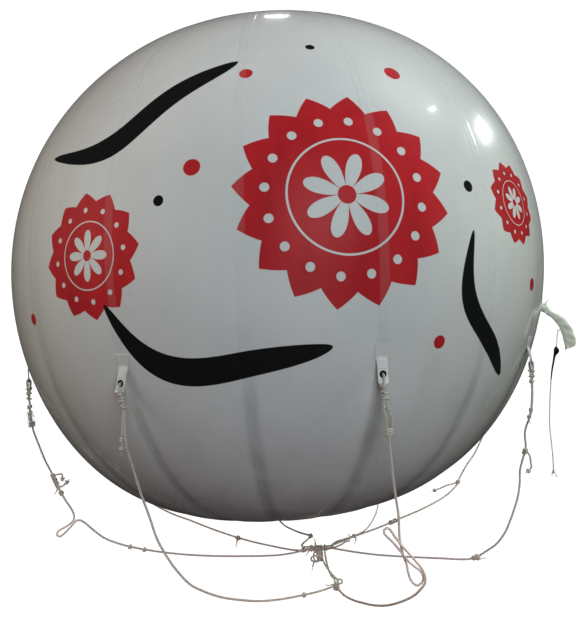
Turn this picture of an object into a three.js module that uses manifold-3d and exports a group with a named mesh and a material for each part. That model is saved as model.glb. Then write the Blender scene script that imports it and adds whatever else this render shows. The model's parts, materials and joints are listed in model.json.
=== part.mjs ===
// Round sky balloon of sixteen welded gores, with eight load tabs, a slack rope bridle
// gathered under it, and a tied inflation sleeve. Millimetres, +Z up, origin at the
// envelope's centre. Azimuths are measured from -Y, positive towards +X.
import * as THREE from 'three';
import { mergeVertices } from 'three/addons/utils/BufferGeometryUtils.js';
import Module from 'manifold-3d';

const wasm = await Module();
wasm.setup();

const DEG = Math.PI / 180;
const GAP = 0.3;

// Envelope: radius, wall, how far the crown and the base are flattened, gores and seams.
const RADIUS = 1220;
const WALL = 10;
const CROWN_FLATTENING = 0.04;
const BASE_FLATTENING = 0.105;
const GORE_COUNT = 16;
const GORE_ANGLE = 360 / GORE_COUNT;
const FIRST_SEAM = -28.4;
const SEAM_VALLEY = 9;
const GORE_FACETS = 4;
// Latitudes of the rows of points along a gore, from the base disc to the crown disc.
const ROW_LATITUDES = [-82, -75, -66, -55, -43, -30, -18, -6, 6, 18, 30, 42, 54, 65, 75, 83];

// Load tabs, one on every second seam: a strip that hangs from its top edge, with a pad
// welded on its outer face above the eyelet. Heights are below the top edge.
const TAB_COUNT = 8;
const TAB_LATITUDE = -18;
const TAB = { width: 38, length: 92, thickness: 3 };
const TAB_PAD = { top: -6, bottom: -44, rise: 0.6 };
const EYELET = { height: -60, bore: 6.5, barrel: 8.7, flange: 12.5, lip: 1.2, sides: 12 };

// Ropes and what is tied in them.
const ROPE_RADIUS = 4;
const ROPE_SIDES = 8;
const ROPE_LEAD = 20;
const HITCH = { top: -97, bottom: -150, radius: 10.5, waist: 8.6, wraps: 3, sides: 10 };
// Half of the loop through an eyelet: distance out from the tab's middle, height.
const HITCH_LOOP = [[0, -61.3], [3, -61.5], [6.1, -62.9], [7.5, -66], [7.5, -78], [7.5, -89], [4.6, -104]];
const GATHER = { at: [132, 0, -1303], length: 90, radius: 15, waist: 13, end: 11, taper: 12, sides: 12 };
const HANK = { shift: -10, drop: 35, radius: 27, tube: 9 };
const PENDANT_KNOT = { at: [206, -112, -1450], radius: 15, neck: 10.5, height: 34, sides: 12 };
const RING_BIGHT = { offset: [16, -2, 21], radius: 12 };
const STRING_RADIUS = 2;
const STRING_KNOT = 5;

// Inflation sleeve, tied off at its root.
const SLEEVE = { azimuth: 70.6, latitude: -9.7, flange: 45, flangeThickness: 3, sides: 14 };
const NECK_TIE = { radius: 17.1, tube: 4 };

const materials = {
  film: new THREE.MeshStandardMaterial({ color: 0xc9cdca, roughness: 0.28, metalness: 0 }),
  patch: new THREE.MeshStandardMaterial({ color: 0xd4d8d6, roughness: 0.35, metalness: 0 }),
  tab: new THREE.MeshStandardMaterial({ color: 0xd9dcda, roughness: 0.4, metalness: 0 }),
  eyelet: new THREE.MeshStandardMaterial({ color: 0x8a6a52, roughness: 0.35, metalness: 1 }),
  rope: new THREE.MeshStandardMaterial({ color: 0xa89c8f, roughness: 0.9, metalness: 0 }),
  sleeve: new THREE.MeshStandardMaterial({ color: 0xb9c4bb, roughness: 0.4, metalness: 0 }),
  tie: new THREE.MeshStandardMaterial({ color: 0xe6e6e2, roughness: 0.7, metalness: 0 }),
};

const balloon = new THREE.Group();

function weld(geometry) {
  geometry.deleteAttribute('normal');
  geometry.deleteAttribute('uv');
  return mergeVertices(geometry, 1e-4);
}

function signedVolume(geometry) {
  const place = geometry.attributes.position;
  const corners = geometry.index;
  const [a, b, c] = [new THREE.Vector3(), new THREE.Vector3(), new THREE.Vector3()];
  let sum = 0;
  for (let i = 0; i < corners.count; i += 3) {
    a.fromBufferAttribute(place, corners.getX(i));
    b.fromBufferAttribute(place, corners.getX(i + 1));
    c.fromBufferAttribute(place, corners.getX(i + 2));
    sum += a.dot(b.cross(c));
  }
  return sum / 6;
}

// One welded solid whose faces point out, whichever way its profile was drawn.
function solid(geometry) {
  const body = weld(geometry);
  if (signedVolume(body) < 0) {
    const corners = body.index;
    for (let i = 0; i < corners.count; i += 3) {
      const second = corners.getX(i + 1);
      corners.setX(i + 1, corners.getX(i + 2));
      corners.setX(i + 2, second);
    }
  }
  return body;
}

function toManifold(geometry) {
  const body = solid(geometry);
  const vertProperties = new Float32Array(body.attributes.position.array);
  const triVerts = new Uint32Array(body.index.array);
  return new wasm.Manifold(new wasm.Mesh({ numProp: 3, vertProperties, triVerts }));
}

function fromManifold(shape) {
  const mesh = shape.getMesh();
  const geometry = new THREE.BufferGeometry();
  geometry.setAttribute('position', new THREE.BufferAttribute(new Float32Array(mesh.vertProperties), 3));
  geometry.setIndex(new THREE.BufferAttribute(new Uint32Array(mesh.triVerts), 1));
  return geometry;
}

function place(name, geometry, material, parent = balloon) {
  geometry.computeVertexNormals();
  const mesh = new THREE.Mesh(geometry, material);
  mesh.name = name;
  parent.add(mesh);
  return mesh;
}

// Points of a list [[x, y, z], ...] joined by one smooth curve. Steps follow the points, so
// that they are closer where the points are.
class Route extends THREE.CatmullRomCurve3 {
  constructor(points) {
    super(points.map((p) => new THREE.Vector3(...p)), false, 'centripetal');
  }

  getUtoTmapping(u) {
    return u;
  }
}

function roundSection(radius) {
  const section = new THREE.Shape();
  for (let i = 0; i < ROPE_SIDES; i += 1) {
    const angle = ((i + 0.5) / ROPE_SIDES) * 2 * Math.PI;
    const [x, y] = [radius * Math.cos(angle), radius * Math.sin(angle)];
    if (i === 0) section.moveTo(x, y);
    else section.lineTo(x, y);
  }
  section.closePath();
  return section;
}

function cord(points, radius, stepsPerSpan = 2) {
  const steps = (points.length - 1) * stepsPerSpan;
  return new THREE.ExtrudeGeometry(roundSection(radius), { steps, extrudePath: new Route(points) });
}

// Envelope surface

function filmRadius(latitude) {
  const s = Math.sin(latitude * DEG);
  return RADIUS * (1 - (s > 0 ? CROWN_FLATTENING * s ** 4 : BASE_FLATTENING * Math.abs(s) ** 11));
}

// The film is pulled in along each seam, most on the slack lower half.
function valleyDepth(latitude) {
  const low = Math.max(0, -Math.sin(latitude * DEG));
  return SEAM_VALLEY * Math.cos(latitude * DEG) * (0.25 + 0.75 * Math.sqrt(low));
}

// A point of gore number `gore`: across is -1 to 1 from seam to seam, depth is below the film.
function filmPoint(gore, across, latitude, depth) {
  const middle = (FIRST_SEAM + GORE_ANGLE * (gore + 0.5)) * DEG;
  const turn = across * (GORE_ANGLE / 2) * DEG;
  const radius = filmRadius(latitude) - valleyDepth(latitude) * across ** 4 - depth;
  const level = radius * Math.cos(latitude * DEG);
  const open = GAP / 2 / Math.sin((GORE_ANGLE / 2) * DEG);
  const out = level * Math.cos(turn) + open;
  const along = level * Math.sin(turn);
  return new THREE.Vector3(
    out * Math.sin(middle) + along * Math.cos(middle),
    -out * Math.cos(middle) + along * Math.sin(middle),
    radius * Math.sin(latitude * DEG),
  );
}

function gorePanel(gore) {
  const rows = ROW_LATITUDES.length - 1;
  const panel = new THREE.BoxGeometry(2, rows, 1, GORE_FACETS, rows, 1);
  const points = panel.attributes.position;
  for (let i = 0; i < points.count; i += 1) {
    const latitude = ROW_LATITUDES[Math.round(points.getY(i) + rows / 2)];
    const depth = points.getZ(i) > 0 ? 0 : WALL;
    const p = filmPoint(gore, points.getX(i), latitude, depth);
    points.setXYZ(i, p.x, p.y, p.z);
  }
  return solid(panel);
}

for (let gore = 0; gore < GORE_COUNT; gore += 1) {
  place(`gore_${String(gore + 1).padStart(2, '0')}`, gorePanel(gore), materials.film);
}

// The disc that closes the gores' tips, its rim GAP inside theirs.
function endDisc(edgeLatitude) {
  const side = Math.sign(edgeLatitude);
  const rim = (depth) => {
    const p = filmPoint(0, 0, edgeLatitude, depth);
    return new THREE.Vector2(Math.hypot(p.x, p.y) - GAP / Math.abs(Math.sin(edgeLatitude * DEG)), p.z);
  };
  const middle = (edgeLatitude + side * 90) / 2;
  const between = filmPoint(0, 0, middle, 0);
  const pole = side * filmRadius(side * 90);
  const profile = [
    new THREE.Vector2(0, pole),
    new THREE.Vector2(Math.hypot(between.x, between.y), between.z),
    rim(0),
    rim(WALL),
    new THREE.Vector2(0, pole - side * WALL),
  ];
  const disc = new THREE.LatheGeometry(profile, GORE_COUNT * GORE_FACETS);
  disc.rotateX(90 * DEG);
  disc.rotateZ(FIRST_SEAM * DEG);
  return solid(disc);
}

place('crown_disc', endDisc(ROW_LATITUDES.at(-1)), materials.patch);
place('base_disc', endDisc(ROW_LATITUDES[0]), materials.patch);

// Load tabs. In a tab's own frame X runs along the seam's level, -Y faces out, and the top
// edge turns about X.

const seamTop = filmPoint(0, -1, TAB_LATITUDE, 0);
const seamLevel = Math.hypot(seamTop.x, seamTop.y);
const hingeLevel = seamLevel + GAP + TAB.thickness / 2;

// Outline in outward distance and height, extruded along the tab's width.
const outwardAndUp = new THREE.Matrix4().makeBasis(
  new THREE.Vector3(0, -1, 0),
  new THREE.Vector3(0, 0, 1),
  new THREE.Vector3(-1, 0, 0),
);

function tabStrip() {
  const half = TAB.thickness / 2;
  const edge = new THREE.Shape();
  edge.moveTo(half, 0);
  edge.absarc(0, 0, half, 0, Math.PI, false);
  edge.lineTo(-half, -TAB.length);
  edge.lineTo(half, -TAB.length);
  edge.lineTo(half, TAB_PAD.bottom);
  edge.lineTo(half + TAB_PAD.rise, TAB_PAD.bottom);
  edge.lineTo(half + TAB_PAD.rise, TAB_PAD.top);
  edge.lineTo(half, TAB_PAD.top);
  edge.closePath();
  const strip = new THREE.ExtrudeGeometry(edge, { depth: TAB.width, bevelEnabled: false, curveSegments: 6 });
  strip.applyMatrix4(outwardAndUp);
  strip.translate(TAB.width / 2, 0, 0);
  const seat = EYELET.barrel + GAP;
  const hole = new THREE.CylinderGeometry(seat, seat, 4 * TAB.thickness, 16);
  hole.translate(0, 0, EYELET.height);
  return fromManifold(toManifold(strip).subtract(toManifold(hole)));
}

// A solid turned from an outline of radius and height.
function turned(outline, sides) {
  return new THREE.LatheGeometry(outline.map((p) => new THREE.Vector2(...p)), sides);
}

function eyelet() {
  const seat = TAB.thickness / 2 + GAP;
  const face = seat + EYELET.lip;
  const outline = [
    [EYELET.bore, -face],
    [EYELET.flange, -face],
    [EYELET.flange, -seat],
    [EYELET.barrel, -seat],
    [EYELET.barrel, seat],
    [EYELET.flange, seat],
    [EYELET.flange, face],
    [EYELET.bore, face],
    [EYELET.bore, -face],
  ];
  const ring = turned(outline, EYELET.sides);
  ring.translate(0, 0, EYELET.height);
  return solid(ring);
}

// The rope's end, looped through the eyelet and lashed below the tab.
function ropeHitch() {
  const back = HITCH_LOOP.slice(1).reverse().map(([out, up]) => [0, out, up]);
  const front = HITCH_LOOP.map(([out, up]) => [0, -out, up]);
  const loop = toManifold(cord([...back, ...front], ROPE_RADIUS, 1));
  const outline = [[0, HITCH.bottom]];
  const pitch = (HITCH.top - HITCH.bottom) / HITCH.wraps;
  for (let wrap = 0; wrap < HITCH.wraps; wrap += 1) {
    const low = HITCH.bottom + wrap * pitch;
    outline.push([HITCH.waist, low], [HITCH.radius, low + pitch / 2]);
  }
  outline.push([HITCH.waist, HITCH.top], [0, HITCH.top]);
  const lashing = turned(outline, HITCH.sides);
  lashing.rotateX(90 * DEG);
  return fromManifold(loop.add(toManifold(lashing)));
}

const tabGeometry = tabStrip();
const eyeletGeometry = eyelet();
const hitchGeometry = ropeHitch();

for (let tab = 0; tab < TAB_COUNT; tab += 1) {
  const azimuth = (FIRST_SEAM + 2 * GORE_ANGLE * tab) * DEG;
  const hinge = new THREE.Group();
  hinge.position.set(hingeLevel * Math.sin(azimuth), -hingeLevel * Math.cos(azimuth), seamTop.z);
  hinge.rotation.z = azimuth;
  balloon.add(hinge);
  place(`tab_${tab + 1}`, tabGeometry, materials.tab, hinge);
  place(`grommet_${tab + 1}`, eyeletGeometry, materials.eyelet, hinge);
  place(`hitch_${tab + 1}`, hitchGeometry, materials.rope, hinge);
}

// Bridle ropes. Each starts straight down below its hitch and ends at the gather lashing or
// at the pendant knot.

function ropeStart(tab) {
  const azimuth = (FIRST_SEAM + 2 * GORE_ANGLE * tab) * DEG;
  const level = [hingeLevel * Math.sin(azimuth), -hingeLevel * Math.cos(azimuth)];
  const top = seamTop.z + HITCH.bottom - GAP;
  return [[...level, top], [...level, top - ROPE_LEAD]];
}

// End faces of the gather lashing, where three ropes enter side by side.
const [gatherX, gatherY, gatherZ] = GATHER.at;
const leftFace = gatherX - GATHER.length / 2 - GAP;
const rightFace = gatherX + GATHER.length / 2 + GAP;
const [knotX, knotY, knotZ] = PENDANT_KNOT.at;
const knotReach = PENDANT_KNOT.radius + GAP;
const ENTRY = 12;

// The last two points of a rope that enters an end face of the lashing square to it.
function lashingEntry(face, across, rise) {
  const away = Math.sign(face - gatherX) * ENTRY;
  const [y, z] = [gatherY + across, gatherZ + rise];
  return [[face + away, y, z], [face, y, z]];
}

// The same for a rope that enters the pendant knot's side, from azimuth `from`.
function knotEntry(from, rise) {
  const [x, y] = [Math.sin(from * DEG), -Math.cos(from * DEG)];
  const at = (reach) => [knotX + x * reach, knotY + y * reach, knotZ + rise];
  return [at(knotReach + ENTRY), at(knotReach)];
}

// Routes by tab, as x, y, z of the points between the rope's start and its end.
const ROPES = [
  [
    [-549, -1020, -640], [-530, -995, -739], [-512, -974, -823], [-491, -948, -906], [-469, -921, -997],
    [-434, -879, -1086], [-405, -843, -1144], [-375, -806, -1193], [-343, -768, -1227], [-277, -688, -1283],
    [-207, -602, -1327], [-132, -511, -1366], [-52, -413, -1396], [34, -309, -1420], [118, -208, -1439],
    ...knotEntry(-52, 2),
  ],
  [
    [341, -1103, -632], [350, -1082, -725], [363, -1045, -839], [376, -1015, -924],
    [381, -985, -1017], [388, -974, -1051], [394, -970, -1079], [403, -970, -1105], [408, -970, -1136],
    [418, -970, -1165], [437, -970, -1180], [455, -972, -1168], [458, -976, -1147], [447, -981, -1126],
    [427, -985, -1109], [407, -988, -1090], [391, -992, -1069], [373, -997, -1043], [354, -1002, -1019],
    [337, -1004, -1001], [326, -1003, -988], [327, -1001, -976], [338, -999, -971], [349, -996, -980],
    [360, -995, -998], [373, -995, -1017], [389, -997, -1038], [410, -996, -1063], [432, -995, -1090],
    [451, -993, -1115], [462, -990, -1141], [462, -984, -1168], [445, -960, -1202],
    [429, -920, -1233], [397, -860, -1271], [357, -740, -1325],
    [321, -620, -1365], [289, -500, -1396], [261, -350, -1434], [234, -230, -1454],
    ...knotEntry(10, -4),
  ],
  [
    [1010, -546, -640], [985, -531, -720], [984, -529, -790], [972, -522, -835], [961, -515, -880],
    [957, -512, -938], [949, -507, -988], [935, -498, -1038], [918, -488, -1089], [896, -474, -1144],
    [864, -454, -1194], [832, -435, -1223], [791, -409, -1256], [758, -388, -1271], [650, -322, -1282],
    [531, -248, -1292], [407, -171, -1300], [321, -117, -1301], [255, -60, -1303], [205, -20, -1303],
    ...lashingEntry(rightFace, -7, -1),
  ],
  [
    [1110, 331, -620], [1075, 319, -740], [1028, 303, -850], [975, 285, -935], [926, 268, -992],
    [886, 255, -1049], [866, 248, -1084], [829, 236, -1115], [772, 216, -1146], [661, 179, -1186],
    [552, 142, -1215], [446, 106, -1244], [343, 71, -1266], [241, 30, -1288], [205, 12, -1295],
    ...lashingEntry(rightFace, 6, 6),
  ],
  [
    [557, 1030, -640], [558, 1032, -780], [558, 1032, -920], [558, 1031, -1060], [557, 1030, -1190],
    [555, 1026, -1280], [549, 1010, -1335], [530, 965, -1374], [480, 845, -1408], [431, 725, -1416],
    [325, 469, -1383], [247, 279, -1349], [215, 150, -1327], [203, 60, -1316], [192, 20, -1312],
    ...lashingEntry(rightFace, 7, -8),
  ],
  [
    [-333, 1114, -640], [-328, 1098, -760], [-313, 1060, -880], [-285, 995, -990], [-240, 890, -1090],
    [-180, 755, -1170], [-112, 590, -1233],
    [-30, 423, -1289], [12, 340, -1294], [56, 255, -1293], [90, 185, -1286], [103, 135, -1278],
    [97, 97, -1277], [80, 66, -1283], [63, 43, -1290], [56, 24, -1295], [62, 10, -1297],
    ...lashingEntry(leftFace, 6, 6),
  ],
  [
    [-1024, 554, -640], [-1006, 545, -760], [-968, 527, -880], [-900, 494, -995], [-815, 453, -1085],
    [-715, 405, -1148], [-614, 357, -1190], [-514, 310, -1218], [-407, 258, -1250], [-302, 208, -1277],
    [-200, 159, -1298], [-99, 111, -1312], [-2, 64, -1322], [48, 26, -1318],
    ...lashingEntry(leftFace, 7, -8),
  ],
  [
    [-1098, -328, -650], [-1078, -322, -715], [-1054, -315, -786], [-1027, -308, -848], [-1008, -303, -896],
    [-977, -294, -966],
    [-953, -289, -1007], [-943, -286, -1035], [-945, -285, -1056], [-959, -285, -1071],
    [-979, -286, -1084], [-998, -288, -1093], [-1013, -291, -1103], [-1016, -295, -1115],
    [-1004, -298, -1122], [-987, -299, -1113], [-970, -298, -1098], [-954, -296, -1082],
    [-942, -293, -1069], [-931, -289, -1059], [-916, -284, -1060], [-899, -278, -1072],
    [-881, -272, -1091], [-850, -262, -1123],
    [-818, -253, -1150],
    [-756, -237, -1182], [-673, -215, -1212], [-545, -180, -1247], [-414, -146, -1273], [-235, -98, -1298],
    [-50, -49, -1314], [45, -19, -1310],
    ...lashingEntry(leftFace, -7, -1),
  ],
];

ROPES.forEach((route, tab) => {
  place(`rope_${tab + 1}`, solid(cord([...ropeStart(tab), ...route], ROPE_RADIUS)), materials.rope);
});

// The lashing that gathers the ropes, with a hank of spare rope hanging from it.
function gatherLashing() {
  const half = GATHER.length / 2;
  const outline = [
    [0, -half],
    [GATHER.end, -half],
    [GATHER.radius, -half + GATHER.taper],
    [GATHER.waist, 0],
    [GATHER.radius, half - GATHER.taper],
    [GATHER.end, half],
    [0, half],
  ];
  const lashing = turned(outline, GATHER.sides);
  lashing.rotateZ(-90 * DEG);
  const hank = new THREE.TorusGeometry(HANK.radius, HANK.tube, 6, 14);
  hank.rotateX(90 * DEG);
  hank.translate(HANK.shift, 0, -HANK.drop);
  return fromManifold(toManifold(lashing).add(toManifold(hank)));
}

place('gather_knot', gatherLashing(), materials.rope).position.set(...GATHER.at);

// The knot below it, tied in the two front ropes, with a small ring bight on its side.
function pendantKnot() {
  const { radius, neck, height, sides } = PENDANT_KNOT;
  const [end, shoulder] = [height / 2, height / 4];
  const knot = turned(
    [[0, -end], [neck, -end], [radius, -shoulder], [radius, shoulder], [neck, end], [0, end]],
    sides,
  );
  knot.rotateX(90 * DEG);
  const ring = new THREE.TorusGeometry(RING_BIGHT.radius, ROPE_RADIUS, 6, 12);
  ring.rotateX(90 * DEG);
  ring.translate(...RING_BIGHT.offset);
  return fromManifold(toManifold(knot).add(toManifold(ring)));
}

place('pendant_knot', pendantKnot(), materials.rope).position.set(...PENDANT_KNOT.at);

const pendantTop = knotZ + PENDANT_KNOT.height / 2 + GAP;
const pendantRoute = [
  [164, -4, gatherZ - GATHER.radius - GAP],
  [165, -6, -1335],
  [168, -20, -1356],
  [174, -45, -1384],
  [184, -78, -1408],
  [knotX - 7, knotY + 3, pendantTop + ENTRY],
  [knotX - 7, knotY + 3, pendantTop],
];
place('pendant_rope', solid(cord(pendantRoute, ROPE_RADIUS)), materials.rope);

// Inflation sleeve: a welded flange, a gathered neck and a limp flat tube.

function sleeveSeat() {
  const row = ROW_LATITUDES.findIndex((latitude) => latitude > SLEEVE.latitude);
  const [lower, upper] = [ROW_LATITUDES[row - 1], ROW_LATITUDES[row]];
  const gore = Math.floor((SLEEVE.azimuth - FIRST_SEAM) / GORE_ANGLE);
  const across = ((SLEEVE.azimuth - FIRST_SEAM) / GORE_ANGLE - gore) * 2 - 1;
  const column = Math.round(across * (GORE_FACETS / 2)) / (GORE_FACETS / 2);
  const below = filmPoint(gore, column, lower, 0);
  const above = filmPoint(gore, column, upper, 0);
  const share = (SLEEVE.latitude - lower) / (upper - lower);
  const up = above.clone().sub(below).normalize();
  const level = new THREE.Vector3(-below.y, below.x, 0).normalize();
  const normal = level.clone().cross(up).normalize();
  const point = below.clone().lerp(above, share);
  return { point, normal, up, level };
}

const seat = sleeveSeat();
const flange = new THREE.CylinderGeometry(SLEEVE.flange, SLEEVE.flange, SLEEVE.flangeThickness, 24);
flange.translate(0, SLEEVE.flangeThickness / 2 + GAP, 0);
const seatFrame = new THREE.Matrix4().makeBasis(seat.level, seat.normal, seat.up.clone().negate());
seatFrame.setPosition(seat.point);
flange.applyMatrix4(seatFrame);
place('filler_flange', solid(flange), materials.patch);

const sleeveRoot = seat.point.clone().addScaledVector(seat.normal, SLEEVE.flangeThickness + 2 * GAP);
const outFrom = (out, side, rise) => sleeveRoot.clone()
  .add(new THREE.Vector3(seat.normal.x, seat.normal.y, 0).normalize().multiplyScalar(out))
  .addScaledVector(seat.level, side)
  .add(new THREE.Vector3(0, 0, rise));
// Sections of the sleeve: distance out and rise from its root, half width, half thickness.
const SLEEVE_SECTIONS = [
  [0, 0, 16, 16],
  [9, -2, 13, 12],
  [20, -6, 12, 11],
  [34, -14, 19, 13],
  [60, -35, 27, 12],
  [86, -64, 29, 11],
  [105, -100, 30, 10],
  [109, -138, 30, 9],
  [100, -176, 29, 8],
];

const sleeveSpine = new THREE.CatmullRomCurve3(SLEEVE_SECTIONS.map(([out, rise]) => outFrom(out, 0, rise)));

// Centre of a section and its underside direction.
function sleeveSection(step) {
  const share = step / (SLEEVE_SECTIONS.length - 1);
  const tangent = step === 0 ? seat.normal : sleeveSpine.getTangent(share);
  return { centre: sleeveSpine.getPoint(share), under: seat.level.clone().cross(tangent).normalize() };
}

function limpSleeve() {
  const spans = SLEEVE_SECTIONS.length - 1;
  const tube = new THREE.CylinderGeometry(1, 1, spans, SLEEVE.sides, spans);
  const points = tube.attributes.position;
  for (let i = 0; i < points.count; i += 1) {
    const step = Math.round(points.getY(i) + spans / 2);
    const [, , halfWidth, halfThickness] = SLEEVE_SECTIONS[step];
    const { centre, under } = sleeveSection(step);
    const p = centre
      .addScaledVector(under, points.getX(i) * halfWidth)
      .addScaledVector(seat.level, points.getZ(i) * halfThickness);
    points.setXYZ(i, p.x, p.y, p.z);
  }
  return solid(tube);
}

place('filler_sleeve', limpSleeve(), materials.sleeve);

// The lashing round the sleeve's neck, between its second and third sections.
function neckTie() {
  const [near, far] = [1, 2].map((step) => sleeveSpine.points[step]);
  const tie = new THREE.TorusGeometry(NECK_TIE.radius, NECK_TIE.tube, 6, 16);
  const axis = far.clone().sub(near).normalize();
  tie.applyQuaternion(new THREE.Quaternion().setFromUnitVectors(new THREE.Vector3(0, 0, 1), axis));
  const middle = near.clone().lerp(far, 0.5);
  tie.translate(middle.x, middle.y, middle.z);
  return solid(tie);
}

place('sleeve_tie', neckTie(), materials.tie);

// The tie string, fastened under the sleeve and hanging to a knotted end.
const STRING_SECTION = 5;
const stringHold = sleeveSection(STRING_SECTION);
const holdReach = SLEEVE_SECTIONS[STRING_SECTION][2] + GAP;
const stringTop = stringHold.centre.clone().addScaledVector(stringHold.under, holdReach);
const stringOut = stringTop.clone().addScaledVector(stringHold.under, 8);
const STRING_ROUTE = [
  [1179, -416, -368], [1172, -416, -392], [1164, -416, -430], [1152, -417, -480], [1144, -418, -530],
  [1138, -419, -580], [1133, -420, -630], [1129, -420, -680], [1128, -420, -730], [1131, -420, -785],
  [1134, -420, -840], [1134, -420, -884], [1134, -420, -900],
];
const stringRoute = [stringTop.toArray(), stringOut.toArray(), ...STRING_ROUTE];
place('tie_string', solid(cord(stringRoute, STRING_RADIUS)), materials.tie);
const endKnot = new THREE.SphereGeometry(STRING_KNOT, 8, 6);
const [endX, endY, endZ] = STRING_ROUTE.at(-1);
place('string_knot', solid(endKnot), materials.tie).position.set(endX, endY, endZ - STRING_KNOT - GAP);

export default balloon;
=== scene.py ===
import json
import math
from contextlib import contextmanager

import bmesh
import bpy
import numpy as np
from mathutils import Matrix, Vector


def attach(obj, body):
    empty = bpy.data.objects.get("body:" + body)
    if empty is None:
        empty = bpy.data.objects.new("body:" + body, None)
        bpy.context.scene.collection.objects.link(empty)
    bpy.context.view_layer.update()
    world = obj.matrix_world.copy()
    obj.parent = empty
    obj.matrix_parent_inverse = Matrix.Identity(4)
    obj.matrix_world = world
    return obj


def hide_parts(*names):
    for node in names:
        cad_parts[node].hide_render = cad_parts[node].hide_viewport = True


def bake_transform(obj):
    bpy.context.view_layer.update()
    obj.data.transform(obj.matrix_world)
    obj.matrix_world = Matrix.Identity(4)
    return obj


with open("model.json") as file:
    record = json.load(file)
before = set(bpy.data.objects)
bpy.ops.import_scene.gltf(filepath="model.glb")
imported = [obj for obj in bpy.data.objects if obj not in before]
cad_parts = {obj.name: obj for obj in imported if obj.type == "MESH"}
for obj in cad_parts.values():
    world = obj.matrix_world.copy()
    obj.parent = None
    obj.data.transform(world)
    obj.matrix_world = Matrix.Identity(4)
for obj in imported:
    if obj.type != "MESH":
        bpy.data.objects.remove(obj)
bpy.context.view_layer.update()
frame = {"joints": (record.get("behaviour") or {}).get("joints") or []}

# Envelope. Its seams and size are those of the solids. The film leans a little and isn't even: it is
# slack low on the right, and full high on the right and low on the left.
RADIUS = 1.220
WALL = 0.010
CROWN_FLATTENING = 0.0227
BASE_FLATTENING = 0.0957
LEAN = 0.030
# Where the film stands in or out: the way in x and z, the share of the radius, and a power.
BULGES = ((0.790, -0.613, -0.0145, 4), (0.690, 0.724, 0.0303, 6), (-0.640, -0.768, 0.0130, 8))
GORE_COUNT = 16
GORE_ANGLE = math.radians(22.5)
FIRST_SEAM = math.radians(-28.4)
GORE_ENDS = (math.radians(-82), math.radians(83))
SEAM_VALLEY = 0.009
SEAM_ROUNDING = 0.010
WELD_BAND = 0.0175
WELD_RISE = 0.0005

# Load tabs and what hangs in them. Heights are below the hinge.
TAB_COUNT = 8
TAB_LATITUDE = math.radians(-18)
EYELET_HEIGHT = -0.060
ROPE_RADIUS = 0.004
ROPE_LAY = 0.036
ROPE_TOP = -0.52554

hinges = {joint["child"]: joint for joint in frame["joints"]}
HINGE_LEVEL = hinges["load_tab_1"]["pos_m"][2]


# Camera at the photograph's place.

def add_camera():
    right = Vector((0.99910, -0.01507, -0.03957))
    up = Vector((0.03883, -0.04620, 0.99818))
    forward = Vector((0.01687, 0.99882, 0.04557))
    camera = bpy.data.objects.new("camera", bpy.data.cameras.new("camera"))
    camera.data.lens = 43.18
    camera.data.sensor_width = 36
    turn = Matrix((right, up, -forward)).transposed().to_4x4()
    camera.matrix_world = Matrix.Translation((0, -3.585, -0.317)) @ turn
    bpy.context.scene.collection.objects.link(camera)
    bpy.context.scene.camera = camera


add_camera()


# Making of shapes

def add_piece(name, mesh):
    piece = bpy.data.objects.new(name, mesh)
    bpy.context.scene.collection.objects.link(piece)
    return piece


def piece_from(name, form):
    """Ends a bmesh as a piece with smooth faces."""
    mesh = bpy.data.meshes.new(name)
    form.to_mesh(mesh)
    form.free()
    mesh.shade_smooth()
    return add_piece(name, mesh)


@contextmanager
def reworked(mesh):
    """A mesh as a bmesh, which is put back into it at the end."""
    form = bmesh.new()
    form.from_mesh(mesh)
    yield form
    form.to_mesh(mesh)
    form.free()


def close_seams(piece, way_out):
    """Merges the edges of a round skin that meet, and turns its faces to where way_out says."""
    with reworked(piece.data) as form:
        bmesh.ops.remove_doubles(form, verts=form.verts, dist=1e-6)
        bmesh.ops.recalc_face_normals(form, faces=form.faces)
        if sum(face.normal.dot(way_out(face)) for face in form.faces) < 0:
            bmesh.ops.reverse_faces(form, faces=form.faces)


def spun_form(outline, steps, closed, merge):
    """A bmesh turned from an outline of radii and heights round the upright axis."""
    form = bmesh.new()
    points = [form.verts.new((radius, 0, height)) for radius, height in outline]
    pairs = zip(points, points[1:] + points[:1] if closed else points[1:])
    edges = [form.edges.new(pair) for pair in pairs]
    bmesh.ops.spin(
        form, geom=points + edges, cent=(0, 0, 0), axis=(0, 0, 1),
        angle=2 * math.pi, steps=steps, use_merge=True,
    )
    bmesh.ops.remove_doubles(form, verts=form.verts, dist=merge)
    bmesh.ops.recalc_face_normals(form, faces=form.faces)
    return form


def shaped_grid(name, across, along, place, marks=None, close=False):
    """A grid whose points go where place(u, v) puts them, u and v being arrays from 0 to 1.
    marks gives further values of each point; close joins the edges that meet and fills the ends."""
    form = bmesh.new()
    form.loops.layers.uv.new("UVMap")
    bmesh.ops.create_grid(form, x_segments=across, y_segments=along, size=0.5, calc_uvs=True)
    mesh = bpy.data.meshes.new(name)
    form.to_mesh(mesh)
    form.free()
    flat = np.empty(len(mesh.vertices) * 3)
    mesh.vertices.foreach_get("co", flat)
    u, v = (flat.reshape(-1, 3)[:, axis] + 0.5 for axis in (0, 1))
    points = place(u, v)
    mesh.vertices.foreach_set("co", np.ascontiguousarray(points, np.float32).ravel())
    for mark, value in (marks or {}).items():
        layer = mesh.attributes.new(mark, "FLOAT", "POINT")
        layer.data.foreach_set("value", value(u, v).astype(np.float32))
    if close:
        with reworked(mesh) as form:
            bmesh.ops.remove_doubles(form, verts=form.verts, dist=1e-6)
            bmesh.ops.holes_fill(form, edges=form.edges, sides=0)
            bmesh.ops.recalc_face_normals(form, faces=form.faces)
    mesh.shade_smooth()
    return add_piece(name, mesh)


def join_pieces(name, pieces):
    """Several shapes as one piece."""
    first = pieces[0]
    if len(pieces) > 1:
        with bpy.context.temp_override(active_object=first, selected_editable_objects=pieces):
            bpy.ops.object.join()
    first.name = name
    first.data.name = name
    return first


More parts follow.
